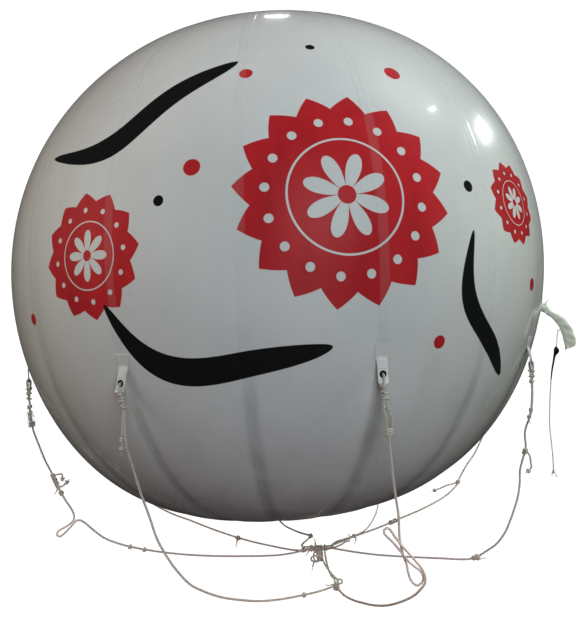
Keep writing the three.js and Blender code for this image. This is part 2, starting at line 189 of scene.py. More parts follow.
def smooth_line(points, steps):
    """A centripetal curve through points, steps to a span, run on at its ends as in the solids."""
    given = np.array(points, float)
    given = np.vstack([2 * given[0] - given[1], given, 2 * given[-1] - given[-2]])
    share = np.linspace(0, 1, steps, endpoint=False)[:, None]
    line = []
    for before, start, end, after in zip(given, given[1:], given[2:], given[3:]):
        gaps = [np.sqrt(np.linalg.norm(b - a)) for a, b in ((before, start), (start, end), (end, after))]
        first, middle, last = gaps
        leave = (start - before) / first - (end - before) / (first + middle) + (end - start) / middle
        arrive = (end - start) / middle - (after - start) / (middle + last) + (after - end) / last
        leave, arrive = leave * middle, arrive * middle
        turn = 3 * (end - start) - 2 * leave - arrive
        rest = 2 * (start - end) + leave + arrive
        line.append(start + leave * share + turn * share**2 + rest * share**3)
    return np.vstack([*line, given[-2]])


def even_line(line, spacing):
    """The same line with its points at even distances, and its length."""
    steps = np.linalg.norm(np.diff(line, axis=0), axis=1)
    reach = np.concatenate([[0], np.cumsum(steps)])
    count = max(2, int(round(reach[-1] / spacing)))
    at = np.linspace(0, reach[-1], count + 1)
    return np.stack([np.interp(at, reach, line[:, axis]) for axis in range(3)], 1), reach[-1]


def unit(vector):
    vector = np.array(vector, float)
    return vector / np.linalg.norm(vector)


def carried_frames(line):
    """Tangents and two side directions along a line, turned no more than the line turns."""
    tangents = np.gradient(line, axis=0)
    tangents /= np.linalg.norm(tangents, axis=1)[:, None]
    side = np.cross(tangents[0], (0.31, 0.95, 0.05))
    sides = []
    for tangent in tangents:
        side = unit(side - tangent * side.dot(tangent))
        sides.append(side)
    sides = np.array(sides)
    return tangents, sides, np.cross(tangents, sides)


def cord_tube(name, line, radius, sides=12, lay=None, spacing=0.0026, taper=None):
    """A tube along a line. With a lay it is a rope of three strands, which turn once in each lay."""
    line, length = even_line(line, spacing)
    _, first, second = carried_frames(line)
    last = len(line) - 1
    turns = 2 * math.pi * length / lay if lay else 0

    def place(u, v):
        ring = np.round(v * last).astype(int)
        angle = 2 * np.pi * u
        reach = radius * (1.08 + 0.11 * np.cos(3 * angle)) if lay else radius * np.ones_like(u)
        if taper is not None:
            reach = reach * np.interp(v, *taper)
        angle = angle + turns * v
        return (
            line[ring]
            + (reach * np.cos(angle))[:, None] * first[ring]
            + (reach * np.sin(angle))[:, None] * second[ring]
        )

    marks = {
        "groove": lambda u, v: 0.5 + 0.5 * np.cos(6 * np.pi * u),
        "along": lambda u, v: v * length,
    }
    tube = shaped_grid(name, sides, last, place, marks, close=True)
    tube["length"] = float(length)
    return tube, line


def rope_run(name, line, share=1.0):
    """Laid rope along a line, its thickness a share of the bridle's."""
    return cord_tube(name, line, ROPE_RADIUS * share, lay=ROPE_LAY)[0]


def helix(centre, axis, radius, turns, pitch, start=0.0, flat=1.0, across=None, steps=18):
    """Points of a coil round a line, with its radius times flat in the second direction."""
    axis = unit(axis)
    across = unit(np.cross(axis, (0.2, 0.3, 0.93)) if across is None else across)
    across = unit(across - axis * across.dot(axis))
    second = np.cross(axis, across)
    turn = np.linspace(0, turns, max(3, int(steps * turns) + 1))
    angle = 2 * np.pi * turn + start
    rise = (turn - turns / 2) * pitch
    return (
        np.array(centre)
        + rise[:, None] * axis
        + (radius * np.cos(angle))[:, None] * across
        + (radius * flat * np.sin(angle))[:, None] * second
    )


# The film's surface

def film_radius(azimuth, latitude):
    x, z = np.sin(azimuth) * np.cos(latitude), np.sin(latitude)
    s = z - LEAN * x
    share = 1 - np.where(s > 0, CROWN_FLATTENING * s**4, BASE_FLATTENING * np.abs(s) ** 7)
    for across, up, rise, power in BULGES:
        share = share + rise * np.clip(across * x + up * z, 0, 1) ** power
    return RADIUS * share


def film_point(azimuth, latitude, lift=0.0, welds=True):
    """Points of the film: pulled in along the seams, with the welded bands standing proud of it."""
    azimuth, latitude = np.broadcast_arrays(np.asarray(azimuth, float), np.asarray(latitude, float))
    radius = film_radius(azimuth, latitude)
    level = np.maximum(radius * np.cos(latitude), 1e-4)
    half = level * GORE_ANGLE / 2
    turn = np.abs((azimuth - FIRST_SEAM + GORE_ANGLE / 2) % GORE_ANGLE - GORE_ANGLE / 2)
    distance = turn * level
    rounding = np.minimum(SEAM_ROUNDING, 0.3 * half)
    across = 1 - np.sqrt(distance**2 + rounding**2) / half
    pull = (np.clip(across, 0, 1) / (1 - rounding / half)) ** 4
    low = np.clip(-np.sin(latitude), 0, 1)
    valley = SEAM_VALLEY * np.cos(latitude) * (0.25 + 0.75 * np.sqrt(low))
    radius = radius - valley * pull
    seam = np.round((azimuth - FIRST_SEAM) / GORE_ANGLE)
    creases = np.sin(latitude * 61 + 1.7 * seam) + 0.7 * np.sin(latitude * 97 + 2.9 * seam)
    slack = np.clip((low - 0.12) / 0.5, 0, 1) * np.clip((0.97 - low) / 0.2, 0, 1)
    radius = radius + 0.0005 * creases * slack * np.exp(-((distance / 0.055) ** 2))
    if welds:
        rise = np.clip((WELD_BAND + 0.001 - distance) / 0.002, 0, 1)
        radius = radius + WELD_RISE * rise * np.clip(half / 0.05, 0, 1)
    radius = radius + lift
    level = radius * np.cos(latitude)
    return np.stack([level * np.sin(azimuth), -level * np.cos(azimuth), radius * np.sin(latitude)], -1)


# Ropes of the bridle. Points between a rope's start under its hitch and its end, as x, y, z in
# millimetres, and the end itself: the point where it enters the lashing or the knot.
GATHER = Vector((0.132, 0, -1.303))
PENDANT_KNOT = Vector((0.206, -0.112, -1.450))
LEFT_FACE, RIGHT_FACE = 86.7, 177.3
ENTRY = 12


def lashing_entry(face, across, rise):
    away = math.copysign(ENTRY, face - 132)
    return [[face + away, across, rise - 1303], [face, across, rise - 1303]]


def knot_entry(azimuth, rise):
    x, y = math.sin(math.radians(azimuth)), -math.cos(math.radians(azimuth))
    return [[206 + x * reach, -112 + y * reach, rise - 1450] for reach in (15.3 + ENTRY, 15.3)]


ROPES = [
    [
        [-549, -1020, -640], [-530, -995, -739], [-512, -974, -823], [-491, -948, -906],
        [-469, -921, -997], [-434, -879, -1086], [-405, -843, -1144], [-375, -806, -1193],
        [-343, -768, -1227], [-277, -688, -1283], [-207, -602, -1327], [-132, -511, -1366],
        [-52, -413, -1396], [34, -309, -1420], [118, -208, -1439],
        *knot_entry(-52, 2),
    ],
    [
        [341, -1103, -632], [350, -1082, -725], [363, -1045, -839], [376, -1015, -924],
        [381, -985, -1017], [388, -974, -1051], [394, -970, -1079], [403, -970, -1105],
        [408, -970, -1136], [418, -970, -1165], [437, -970, -1180], [455, -972, -1168],
        [458, -976, -1147], [447, -981, -1126], [427, -985, -1109], [407, -988, -1090],
        [391, -992, -1069], [373, -997, -1043], [354, -1002, -1019], [337, -1004, -1001],
        [326, -1003, -988], [327, -1001, -976], [338, -999, -971], [349, -996, -980], [360, -995, -998],
        [373, -995, -1017], [389, -997, -1038], [410, -996, -1063], [432, -995, -1090],
        [451, -993, -1115], [462, -990, -1141], [462, -984, -1168], [445, -960, -1202],
        [429, -920, -1233], [397, -860, -1271], [357, -740, -1325],
        [321, -620, -1365], [289, -500, -1396], [261, -350, -1434], [234, -230, -1454],
        *knot_entry(10, -4),
    ],
    [
        [1010, -546, -640], [985, -531, -720], [984, -529, -790], [972, -522, -835], [961, -515, -880],
        [957, -512, -938], [949, -507, -988], [935, -498, -1038], [918, -488, -1089], [896, -474, -1144],
        [864, -454, -1194], [832, -435, -1223], [791, -409, -1256], [758, -388, -1271], [650, -322, -1282],
        [531, -248, -1292], [407, -171, -1300], [321, -117, -1301], [255, -60, -1303], [205, -20, -1303],
        *lashing_entry(RIGHT_FACE, -7, -1),
    ],
    [
        [1110, 331, -620], [1075, 319, -740], [1028, 303, -850], [975, 285, -935], [926, 268, -992],
        [886, 255, -1049], [866, 248, -1084], [829, 236, -1115], [772, 216, -1146], [661, 179, -1186],
        [552, 142, -1215], [446, 106, -1244], [343, 71, -1266], [241, 30, -1288], [205, 12, -1295],
        *lashing_entry(RIGHT_FACE, 6, 6),
    ],
    [
        [557, 1030, -640], [558, 1032, -780], [558, 1032, -920], [558, 1031, -1060], [557, 1030, -1190],
        [555, 1026, -1280], [549, 1010, -1335], [530, 965, -1374], [480, 845, -1408], [431, 725, -1416],
        [325, 469, -1383], [247, 279, -1349], [215, 150, -1327], [203, 60, -1316], [192, 20, -1312],
        *lashing_entry(RIGHT_FACE, 7, -8),
    ],
    [
        [-333, 1114, -640], [-328, 1098, -760], [-313, 1060, -880], [-285, 995, -990], [-240, 890, -1090],
        [-180, 755, -1170], [-112, 590, -1233],
        [-30, 423, -1289], [12, 340, -1294], [56, 255, -1293], [90, 185, -1286], [103, 135, -1278],
        [97, 97, -1277], [80, 66, -1283], [63, 43, -1290], [56, 24, -1295], [62, 10, -1297],
        *lashing_entry(LEFT_FACE, 6, 6),
    ],
    [
        [-1024, 554, -640], [-1006, 545, -760], [-968, 527, -880], [-900, 494, -995], [-815, 453, -1085],
        [-715, 405, -1148], [-614, 357, -1190], [-514, 310, -1218], [-407, 258, -1250], [-302, 208, -1277],
        [-200, 159, -1298], [-99, 111, -1312], [-2, 64, -1322], [48, 26, -1318],
        *lashing_entry(LEFT_FACE, 7, -8),
    ],
    [
        [-1098, -328, -650], [-1078, -322, -715], [-1054, -315, -786], [-1027, -308, -848],
        [-1008, -303, -896], [-977, -294, -966],
        [-953, -289, -1007], [-943, -286, -1035], [-945, -285, -1056], [-959, -285, -1071],
        [-979, -286, -1084], [-998, -288, -1093], [-1013, -291, -1103], [-1016, -295, -1115],
        [-1004, -298, -1122], [-987, -299, -1113], [-970, -298, -1098], [-954, -296, -1082],
        [-942, -293, -1069], [-931, -289, -1059], [-916, -284, -1060], [-899, -278, -1072],
        [-881, -272, -1091], [-850, -262, -1123], [-818, -253, -1150], [-756, -237, -1182],
        [-673, -215, -1212], [-545, -180, -1247], [-414, -146, -1273], [-235, -98, -1298],
        [-50, -49, -1314], [45, -19, -1310],
        *lashing_entry(LEFT_FACE, -7, -1),
    ],
]
# What is tied in each rope: the distance along it of a small knot, its turns, and the end left
# over from it as points away from the knot, in millimetres.
ROPE_KNOTS = [
    [(1.461, 1, [])],
    [(0.106, 2, [])],
    [
        (0.284, 2, [(11, -4, -6), (18, -6, -26), (19, -6, -46), (21, -6, -64), (8, -6, -79)]), (0.812, 2, []),
        (0.828, 1, [(14, -6, -6), (28, -8, -3)]),
    ],
    [
        (0.614, 2, [(-30, -6, -8), (-62, -8, -14), (-92, -8, -26), (-124, -8, -36)]),
        (1.022, 2, []), (1.044, 2, []),
    ],
    [(1.350, 2, [(10, -6, -14), (6, -8, -26)])],
    [(1.524, 2, [])],
    [(1.285, 2, [(-8, -8, -22)]), (1.655, 2, [(-3, -6, 12)])],
    [
        (0.348, 2, [(14, -5, 6), (30, -8, 9), (40, -8, 8), (43, -8, -12)]), (0.366, 2, []),
        (0.384, 2, [(12, -6, -14), (30, -8, -9), (46, -8, 6)]), (0.402, 1, [(-7, -6, -16)]), (0.432, 2, []),
        (1.048, 1, []), (1.114, 1, []),
    ],
]


def hang_between(piece):
    """Bakes a piece's transform into its mesh."""
    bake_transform(piece)


def barrel_knot(name, at, along, turns, radius=0.0072, strand=0.0037):
    """A small knot: close turns of the rope's own end round it."""
    points = helix(at, along, radius, turns + 0.6, 2 * strand * 1.02)
    return cord_tube(name, points, strand, lay=ROPE_LAY)[0]


def thin_yarn(name, bow, radius, spacing):
    """A yarn along three points, thinner at its end."""
    line = smooth_line(bow, 4)
    return cord_tube(name, line, radius, sides=5, spacing=spacing, taper=([0, 1], [1, 0.5]))[0]


def opened_yarns(name, tip, way, rng, count=7, reach=0.020, spread=0.35):
    """Thin yarns that stand out of a rope's end."""
    yarns = []
    for _ in range(count):
        aside = rng.normal(0, spread, 3)
        length = rng.uniform(0.5, 1.0) * reach
        bow = [tip - way * 0.003, tip + (way + aside * 0.5) * length * 0.5, tip + (way + aside) * length]
        yarns.append(thin_yarn(name, bow, 0.0009, 0.002))
    return yarns


def loose_end(name, points, rng, radius=0.0036):
    """A cut end of rope along points, its yarns opened out."""
    taper = ([0, 0.85, 1], [1, 1, 0.75])
    stem, line = cord_tube(name, smooth_line(points, 6), radius, lay=ROPE_LAY, taper=taper)
    return [stem, *opened_yarns(name, line[-1], unit(line[-1] - line[-3]), rng)]


def frayed_end(name, start, way, length, rng):
    """A short cut end that leaves one way and sags a little."""
    way = unit(way)
    side = unit(np.cross(way, (0.3, 0.5, 0.81)))
    bend = rng.uniform(-0.25, 0.25) * side * length
    points = [np.array(start) + way * length * t + bend * t * t + np.array((0, 0, -0.12)) * length * t * t
              for t in (0, 0.35, 0.7, 1.0)]
    return loose_end(name, points, rng, 0.0033)


def yarn_tuft(name, line, rng, count=70):
    """Yarns opened out of a rope along a stretch of it, hanging down beside it."""
    yarns = []
    for _ in range(count):
        top = line[rng.integers(0, len(line))]
        aside = rng.normal(0, 1, 3) * (0.0078, 0.0078, 0.002)
        drop = rng.uniform(0.018, 0.036)
        foot = top + aside * rng.uniform(0.5, 1.6) - (0, 0, drop)
        yarns.append(thin_yarn(name, [top, top + aside * 0.8 - (0, 0, 0.4 * drop), foot], 0.0010, 0.003))
    return yarns


# The free strand beside each rope under its hitch, as distances down it and sideways from the rope.
LONG_STRAND = (
    (0, 0.0082), (0.030, 0.0088), (0.060, 0.0105), (0.090, 0.0140), (0.112, 0.0185), (0.134, 0.0225),
)
TIED_STRAND = (
    (0, 0.0082), (0.022, 0.0150), (0.048, 0.0195), (0.074, 0.0190), (0.094, 0.0135), (0.106, 0.0088),
)


def free_strand(tab, line, length, level, rng):
    """The rope's own end beside it: hanging loose on odd tabs, opened and tied back on even ones."""
    name = f"rope_ties_{tab}"
    tied_back = tab % 2 == 0
    side = level if tied_back else -level

    def on_rope(down):
        return line[int(down / length * (len(line) - 1))]

    beside = [on_rope(down) + side * away for down, away in (TIED_STRAND if tied_back else LONG_STRAND)]
    strand, path = cord_tube(name, smooth_line(beside, 8), ROPE_RADIUS * 0.94, lay=ROPE_LAY)
    pieces = [strand]
    last = len(path) - 1
    if tied_back:
        pieces += yarn_tuft(name, path[int(0.34 * last):int(0.86 * last)], rng)
        pieces.append(barrel_knot(name, path[int(0.26 * last)], (0, 0, 1), 1))
        middle = (path[-2] + on_rope(TIED_STRAND[-1][0])) / 2
        pieces.append(barrel_knot(name, middle, (0, 0, 1), 2, radius=0.0098))
    else:
        pieces.append(barrel_knot(name, path[int(0.80 * last)], (0, 0, 1), 1, radius=0.0052))
        pieces.append(barrel_knot(name, path[-1], (0.2, 0, 1), 1, radius=0.0052))
        pieces += frayed_end(name, path[-1], (side[0] * 0.6, side[1] * 0.6, -1), 0.014, rng)
    return pieces


def bridle_rope(tab, route, knots):
    hinge = hinges[f"load_tab_{tab}"]["pos_m"]
    rng = np.random.default_rng(40 + tab)
    start = [[hinge[0], hinge[1], ROPE_TOP], [hinge[0], hinge[1], ROPE_TOP - 0.020]]
    points = np.vstack([start, np.array(route) / 1000])
    rope, line = cord_tube(f"bridle_rope_{tab}", smooth_line(points, 24), ROPE_RADIUS, lay=ROPE_LAY)
    length = rope["length"]
    tangents = np.gradient(line, axis=0)
    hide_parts(f"rope_{tab}")
    hang_between(rope)
    out = unit((hinge[0], hinge[1], 0))
    name = f"rope_ties_{tab}"
    ties = free_strand(tab, line, length, unit(np.cross((0, 0, 1), out)), rng)
    for distance, turns, offsets in knots:
        ring = int(round(distance / length * (len(line) - 1)))
        ties.append(barrel_knot(name, line[ring], tangents[ring], turns))
        if offsets:
            ends = [line[ring] + unit(offsets[0]) * 0.004]
            ends += [line[ring] + np.array(offset) / 1000 for offset in offsets]
            ties += loose_end(name, ends, rng)
            if len(offsets) > 2:
                ties.append(barrel_knot(name, ends[-1], ends[-1] - ends[-2], 1, radius=0.0060))
    tied = join_pieces(name, ties)
    hang_between(tied)
    return rope, tied


bridle = [bridle_rope(tab, route, knots)
          for tab, (route, knots) in enumerate(zip(ROPES, ROPE_KNOTS), 1)]

# The rope down to the pendant knot.
PENDANT_ROUTE = [
    [164, -4, -1318.3], [165, -6, -1335], [168, -20, -1356], [174, -45, -1384], [184, -78, -1408],
    [199, -109, -1420.7], [199, -109, -1432.7],
]
pendant_line = smooth_line(np.array(PENDANT_ROUTE) / 1000, 24)
pendant_rope, pendant_path = cord_tube("pendant_rope_front", pendant_line, ROPE_RADIUS, lay=ROPE_LAY)
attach(pendant_rope, "envelope")
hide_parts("pendant_rope")


# Finishes

class Signal:
    """A socket's value, which sums and products of it turn into Math nodes."""

    def __init__(self, finish, socket):
        self.finish, self.socket = finish, socket

    def sum_with(self, operation, *others):
        return self.finish.node("Math", {"operation": operation}, dict(enumerate(others)))

    def __add__(self, other):
        return self.sum_with("ADD", self, other)

    def __radd__(self, other):
        return self.sum_with("ADD", other, self)

    def __sub__(self, other):
        return self.sum_with("SUBTRACT", self, other)

    def __rsub__(self, other):
        return self.sum_with("SUBTRACT", other, self)

    def __mul__(self, other):
        return self.sum_with("MULTIPLY", self, other)

    def __rmul__(self, other):
        return self.sum_with("MULTIPLY", other, self)

    def __truediv__(self, other):
        return self.sum_with("DIVIDE", self, other)

    def __rtruediv__(self, other):
        return self.sum_with("DIVIDE", other, self)

    def __pow__(self, other):
        return self.sum_with("POWER", self, other)

    def __abs__(self):
        return self.sum_with("ABSOLUTE", self)

    def sine(self):
        return self.sum_with("SINE", self)

    def root(self):
        return self.sum_with("SQRT", self.most(0.0))

    def most(self, other):
        return self.sum_with("MAXIMUM", self, other)

    def angle_from(self, other):
        return self.sum_with("ARCTAN2", self, other)

    def fraction(self):
        return self.sum_with("FRACT", self)

    def folded(self, reach):
        return self.sum_with("PINGPONG", self, reach)

    def between(self, low, high, first=0.0, last=1.0):
        """first up to low, last from high, and smooth between them."""
        return self.finish.node(
            "MapRange", {"interpolation_type": "SMOOTHSTEP"}, {0: self, 1: low, 2: high, 3: first, 4: last}
        )

    def edge(self, width=0.0012):
        """1 where the value is above 0, with an edge of that width."""
        return self.finish.node("MapRange", {}, {0: self, 1: -width / 2, 2: width / 2, 3: 0.0, 4: 1.0})


class Finish:
    """A material made of nodes, with one Principled shader."""

    def __init__(self, name, **constants):
        self.material = bpy.data.materials.new(name)
        self.material.use_nodes = True
        self.tree = self.material.node_tree
        self.shader = self.tree.nodes["Principled BSDF"]
        for socket, value in constants.items():
            self.shader.inputs[socket.replace("_", " ")].default_value = value

    def node(self, kind, settings=None, inputs=None, output=0):
        made = self.tree.nodes.new("ShaderNode" + kind)
        for setting, value in (settings or {}).items():
            if setting == "stops":
                ramp = made.color_ramp
                while len(ramp.elements) < len(value):
                    ramp.elements.new(0.5)
                for element, (at, colour) in zip(ramp.elements, value):
                    element.position, element.color = at, (*colour, 1)
            else:
                setattr(made, setting, value)
        for key, value in (inputs or {}).items():
            if isinstance(value, Signal):
                self.tree.links.new(value.socket, made.inputs[key])
            else:
                made.inputs[key].default_value = value
        return Signal(self, made.outputs[output])

    def place(self):
        return self.node("TexCoord", output="Object")

    def height(self):
        return self.node("SeparateXYZ", {}, {0: self.place()}, output="Z")

    def mark(self, name):
        return self.node("Attribute", {"attribute_name": name}, output="Fac")

    def noise(self, place, scale, detail=3.0, rough=0.5, stretch=None):
        if stretch is not None:
            place = self.node("Mapping", {}, {"Vector": place, "Scale": stretch})
        inputs = {"Vector": place, "Scale": scale, "Detail": detail, "Roughness": rough}
        return self.node("TexNoise", {}, inputs)

    def mixed(self, share, first, second):
        ends = {6: first if isinstance(first, Signal) else (*first, 1),
                7: second if isinstance(second, Signal) else (*second, 1)}
        return self.node("Mix", {"data_type": "RGBA"}, {0: share, **ends}, output=2)

    def ramp(self, share, *stops):
        return self.node("ValToRGB", {"stops": stops}, {0: share})

    def feed(self, socket, signal):
        self.tree.links.new(signal.socket, self.shader.inputs[socket])

    def bump(self, height, strength, distance):
        relief = self.node("Bump", {}, {"Height": height, "Strength": strength, "Distance": distance})
        self.feed("Normal", relief)


FILM = (0.655, 0.662, 0.657)
FILM_DULL = (0.56, 0.565, 0.56)
FILM_LOW = (0.60, 0.605, 0.60)
RED = (0.53, 0.022, 0.028)
RED_DEEP = (0.41, 0.014, 0.020)
BLACK = (0.0045, 0.0045, 0.005)

# Printed motifs: kind, azimuth and latitude in degrees, reach and half width in metres, turn in
# degrees, points or waves.
FRONT_MOTIFS = [
    ("burst", 11.0, 7.5, 0.375, 0.0, 4.0, 16),
    ("burst", -33.0, 0.5, 0.225, 0.0, 20.0, 12),
    ("burst", 48.5, 8.5, 0.165, 0.0, 0.0, 12),
    ("streamer", -26.0, 24.0, 0.40, 0.050, 24.0, 1.15),
    ("streamer", -12.5, -17.5, 0.40, 0.052, -13.0, 1.0),
    ("streamer", 37.5, -12.0, 0.30, 0.040, -62.0, 1.1),
    ("dot", -13.5, 13.0, 0.030, 0.0, 0.0, 0),
    ("dot", -19.0, 8.0, 0.019, 0.0, 0.0, 1),
    ("dot", -48.0, 19.0, 0.026, 0.0, 0.0, 0),
    ("dot", -5.0, 31.0, 0.024, 0.0, 0.0, 0),
    ("dot", 25.0, 32.0, 0.032, 0.0, 0.0, 0),
    ("dot", 34.5, 10.0, 0.022, 0.0, 0.0, 1),
    ("dot", -15.0, -4.5, 0.020, 0.0, 0.0, 0),
    ("dot", 27.5, -16.0, 0.024, 0.0, 0.0, 0),
    ("dot", 55.0, -6.0, 0.026, 0.0, 0.0, 0),
    ("dot", -52.0, -9.0, 0.022, 0.0, 0.0, 0),
    ("dot", 8.5, 38.0, 0.017, 0.0, 0.0, 1),
]
MOTIFS = FRONT_MOTIFS + [(kind, azimuth + 180, *rest) for kind, azimuth, *rest in FRONT_MOTIFS]


def direction(azimuth, latitude):
    level = math.cos(latitude)
    return np.array([math.sin(azimuth) * level, -math.cos(azimuth) * level, math.sin(latitude)])


def motif_plane(finish, place, motif):
    """Distances in metres from a motif's middle, along it and across it."""
    azimuth, latitude, turn = (math.radians(motif[i]) for i in (1, 2, 5))
    level = np.array([math.cos(azimuth), math.sin(azimuth), 0])
    up = np.array([-math.sin(azimuth), math.cos(azimuth), 0]) * math.sin(latitude)
    up[2] = math.cos(latitude)
    along = level * math.cos(turn) + up * math.sin(turn)
    across = -level * math.sin(turn) + up * math.cos(turn)
    return [
        finish.node("VectorMath", {"operation": "DOT_PRODUCT"}, {0: place, 1: axis}, output="Value")
        for axis in (along, across)
    ]


def burst_print(finish, place, motif):
    """Masks of a many-pointed star, and of the pale rosette and dots left open in it."""
    reach, points = motif[3], motif[6]
    x, y = motif_plane(finish, place, motif)
    out = (x * x + y * y).root()
    around = y.angle_from(x)
    tooth = (around * (points / (2 * math.pi)) + 20.0).folded(0.5) * 2
    star = (tooth * (0.15 * reach) + 0.85 * reach - out).edge()
    share = ((around * (points / (2 * math.pi)) + 20.0).fraction() - 0.5) * (2 * math.pi / points)
    beside = share.sine() * out
    ahead = out - 0.72 * reach
    dots = (0.042 * reach - (beside * beside + ahead * ahead).root()).edge()
    petal = abs((around * 4).sine()) ** 0.55 * (0.40 * reach)
    rosette = (petal - out).edge() * (out - 0.085 * reach).edge()
    ring = (0.010 * reach - abs(out - 0.53 * reach)).edge()
    return star, dots.most(rosette).most(ring)


def streamer_print(finish, place, motif):
    reach, half_width, waves = motif[3], motif[4], motif[6]
    x, y = motif_plane(finish, place, motif)
    share = x / reach
    width = (1 - share * share).root() * half_width
    wave = (x * (math.pi * waves / reach)).sine() * (0.72 * half_width)
    middle = wave + x * x * (0.35 / reach) - 0.1 * reach
    return (width - abs(y - middle)).edge()


def dot_print(finish, place, motif):
    x, y = motif_plane(finish, place, motif)
    return (motif[3] - (x * x + y * y).root()).edge()


def printed(finish, place, motifs):
    """Masks of the red and of the black print, and of what is left open in the red."""
    masks = {"red": None, "black": None, "open": None}

    def add(kind, mask):
        masks[kind] = mask if masks[kind] is None else masks[kind].most(mask)

    for motif in motifs:
        if motif[0] == "burst":
            star, opened = burst_print(finish, place, motif)
            add("red", star)
            add("open", opened)
        elif motif[0] == "streamer":
            add("black", streamer_print(finish, place, motif))
        else:
            add("black" if motif[6] else "red", dot_print(finish, place, motif))
    return masks["red"], masks["black"], masks["open"]


def film_finish(name, motifs):
    """Glossy film, dulled low down, with welded bands darker in their own tone, painted shade on the bands
    and along the seams that grows towards the bottom, and the motifs that reach it.
    """
    finish = Finish(name, Roughness=0.22, IOR=1.46, Coat_Weight=0.6, Coat_Roughness=0.09)
    place = finish.place()
    cloud = finish.noise(place, 2.3, 4.0, 0.55)
    smear = finish.noise(place, 9.0, 5.0, 0.6, (1.0, 1.0, 0.22))
    specks = finish.noise(place, 160.0, 2.0, 0.5)
    low = finish.height().between(-0.75, -0.15, 1.0, 0.0)
    dull = cloud.between(0.35, 0.75) * 0.45 + smear.between(0.45, 0.8) * (0.25 + 0.45 * low)
    colour = finish.mixed(dull, FILM, FILM_DULL)
    seam = finish.mark("seam")
    # Painted shade in the seam valleys, growing towards the bottom.
    seam_valley_shade = seam.between(0.004, 0.042, 1.0, 0.0) * low * (0.25 + 0.40 * smear.between(0.3, 0.7))
    colour = finish.mixed(seam_valley_shade, colour, (0.34, 0.36, 0.37))
    band = (WELD_BAND - seam).edge(0.004)
    line = (0.0016 - abs(seam - WELD_BAND)).edge(0.002)
    # The welded bands' own darker tone, with painted shade on them that grows towards the bottom.
    weld_tone_and_shade = band * (0.05 + 0.22 * low) + line * (0.04 + 0.12 * low)
    colour = finish.mixed(weld_tone_and_shade, colour, (0.40, 0.415, 0.41))
    marks = specks.between(0.70, 0.78) * smear.between(0.5, 0.7) * 0.35
    colour = finish.mixed(marks, colour, (0.36, 0.37, 0.36))
    red, black, opened = printed(finish, place, motifs)
    rough = 0.20 + cloud * 0.06 + dull * 0.08 + band * 0.03
    if red is not None:
        ink = red if opened is None else red * (1 - opened)
        shade = finish.mixed(smear.between(0.3, 0.8), RED, RED_DEEP)
        colour = finish.mixed(ink * (1 - band * 0.06), colour, shade)
        rough = rough + ink * 0.05
    if black is not None:
        colour = finish.mixed(black * 0.995, colour, BLACK)
        rough = rough + black * 0.04
    finish.feed("Base Color", colour)
    finish.feed("Roughness", rough)
    finish.bump(finish.noise(place, 14.0, 3.0, 0.5) + specks * 0.05, 0.10, 0.004)
    return finish.material


def patch_finish(name, colour, dull, rough=0.30, foot=False):
    """Doubled film of the patches, tabs and sleeve: slightly cloudy, with soft creases. A foot is
    in the tone of the film that it is welded on."""
    finish = Finish(name, Roughness=rough, IOR=1.46)
    place = finish.place()
    cloud = finish.noise(place, 22.0, 4.0, 0.6)
    crease = finish.noise(place, 60.0, 3.0, 0.55, (1.0, 1.0, 0.35))
    dirt = finish.noise(place, 7.0, 5.0, 0.65)
    share = cloud.between(0.35, 0.75) * 0.5 + dirt.between(0.5, 0.85) * 0.5
    tone = finish.mixed(share, colour, dull)
    if foot:
        above = finish.height().between(HINGE_LEVEL - 0.002, HINGE_LEVEL + 0.006)
        tone = finish.mixed(above, tone, FILM_LOW)
    finish.feed("Base Color", tone)
    finish.feed("Roughness", rough - 0.04 + cloud * 0.12)
    finish.bump(crease + cloud * 0.5, 0.22, 0.0012)
    return finish.material


def rope_finish(name, fresh, worn, grime, strength, top_shade=None, gaps=(0.28, 0.21, 0.18)):
    """Laid rope: painted shade between its strands, hairy, stained in places, and darker and greyer up at the
    tabs from painted shade.
    """
    finish = Finish(name, Roughness=0.86, IOR=1.4)
    place = finish.place()
    groove = finish.mark("groove")
    hairs = finish.noise(place, 900.0, 3.0, 0.6)
    patchy = finish.noise(place, 26.0, 4.0, 0.6)
    stains = finish.noise(place, 7.0, 3.0, 0.6)
    colour = finish.mixed(patchy.between(0.32, 0.7), fresh, worn)
    colour = finish.mixed(stains.between(0.48, 0.75) * strength, colour, grime)
    # Painted shade between the strands: the gaps colour in the grooves, the rope's own colour on the strands.
    strand_gap_shade = finish.mixed(0.34, colour, gaps)
    lit = groove.between(0.05, 0.75)
    colour = finish.mixed(lit, strand_gap_shade, colour)
    if top_shade is not None:
        # Painted shade: darker and greyer up at the tabs.
        above = finish.height().between(-1.08, -0.68) * 0.9
        colour = finish.mixed(above, colour, finish.mixed(lit, *top_shade))
    colour = finish.mixed(hairs.between(0.55, 0.8) * 0.35, colour, (1.0, 0.88, 0.80))
    finish.feed("Base Color", colour)
    finish.feed("Roughness", 0.78 + hairs * 0.16)
    finish.bump(hairs + groove * 0.6, 0.55, 0.0006)
    return finish.material


def metal_finish():
    """Brass of the eyelets, browned and scratched."""
    finish = Finish("eyelet_brass", Metallic=1.0, Roughness=0.34)
    place = finish.place()
    tarnish = finish.noise(place, 210.0, 4.0, 0.6)
    scratch = finish.noise(place, 600.0, 2.0, 0.5, (1.0, 1.0, 0.12))
    browns = (0.30, (0.05, 0.02, 0.015)), (0.55, (0.14, 0.06, 0.035)), (0.75, (0.35, 0.22, 0.14))
    finish.feed("Base Color", finish.ramp(tarnish, *browns))
    finish.feed("Roughness", 0.25 + tarnish * 0.35)
    finish.bump(scratch + tarnish, 0.25, 0.0003)
    return finish.material


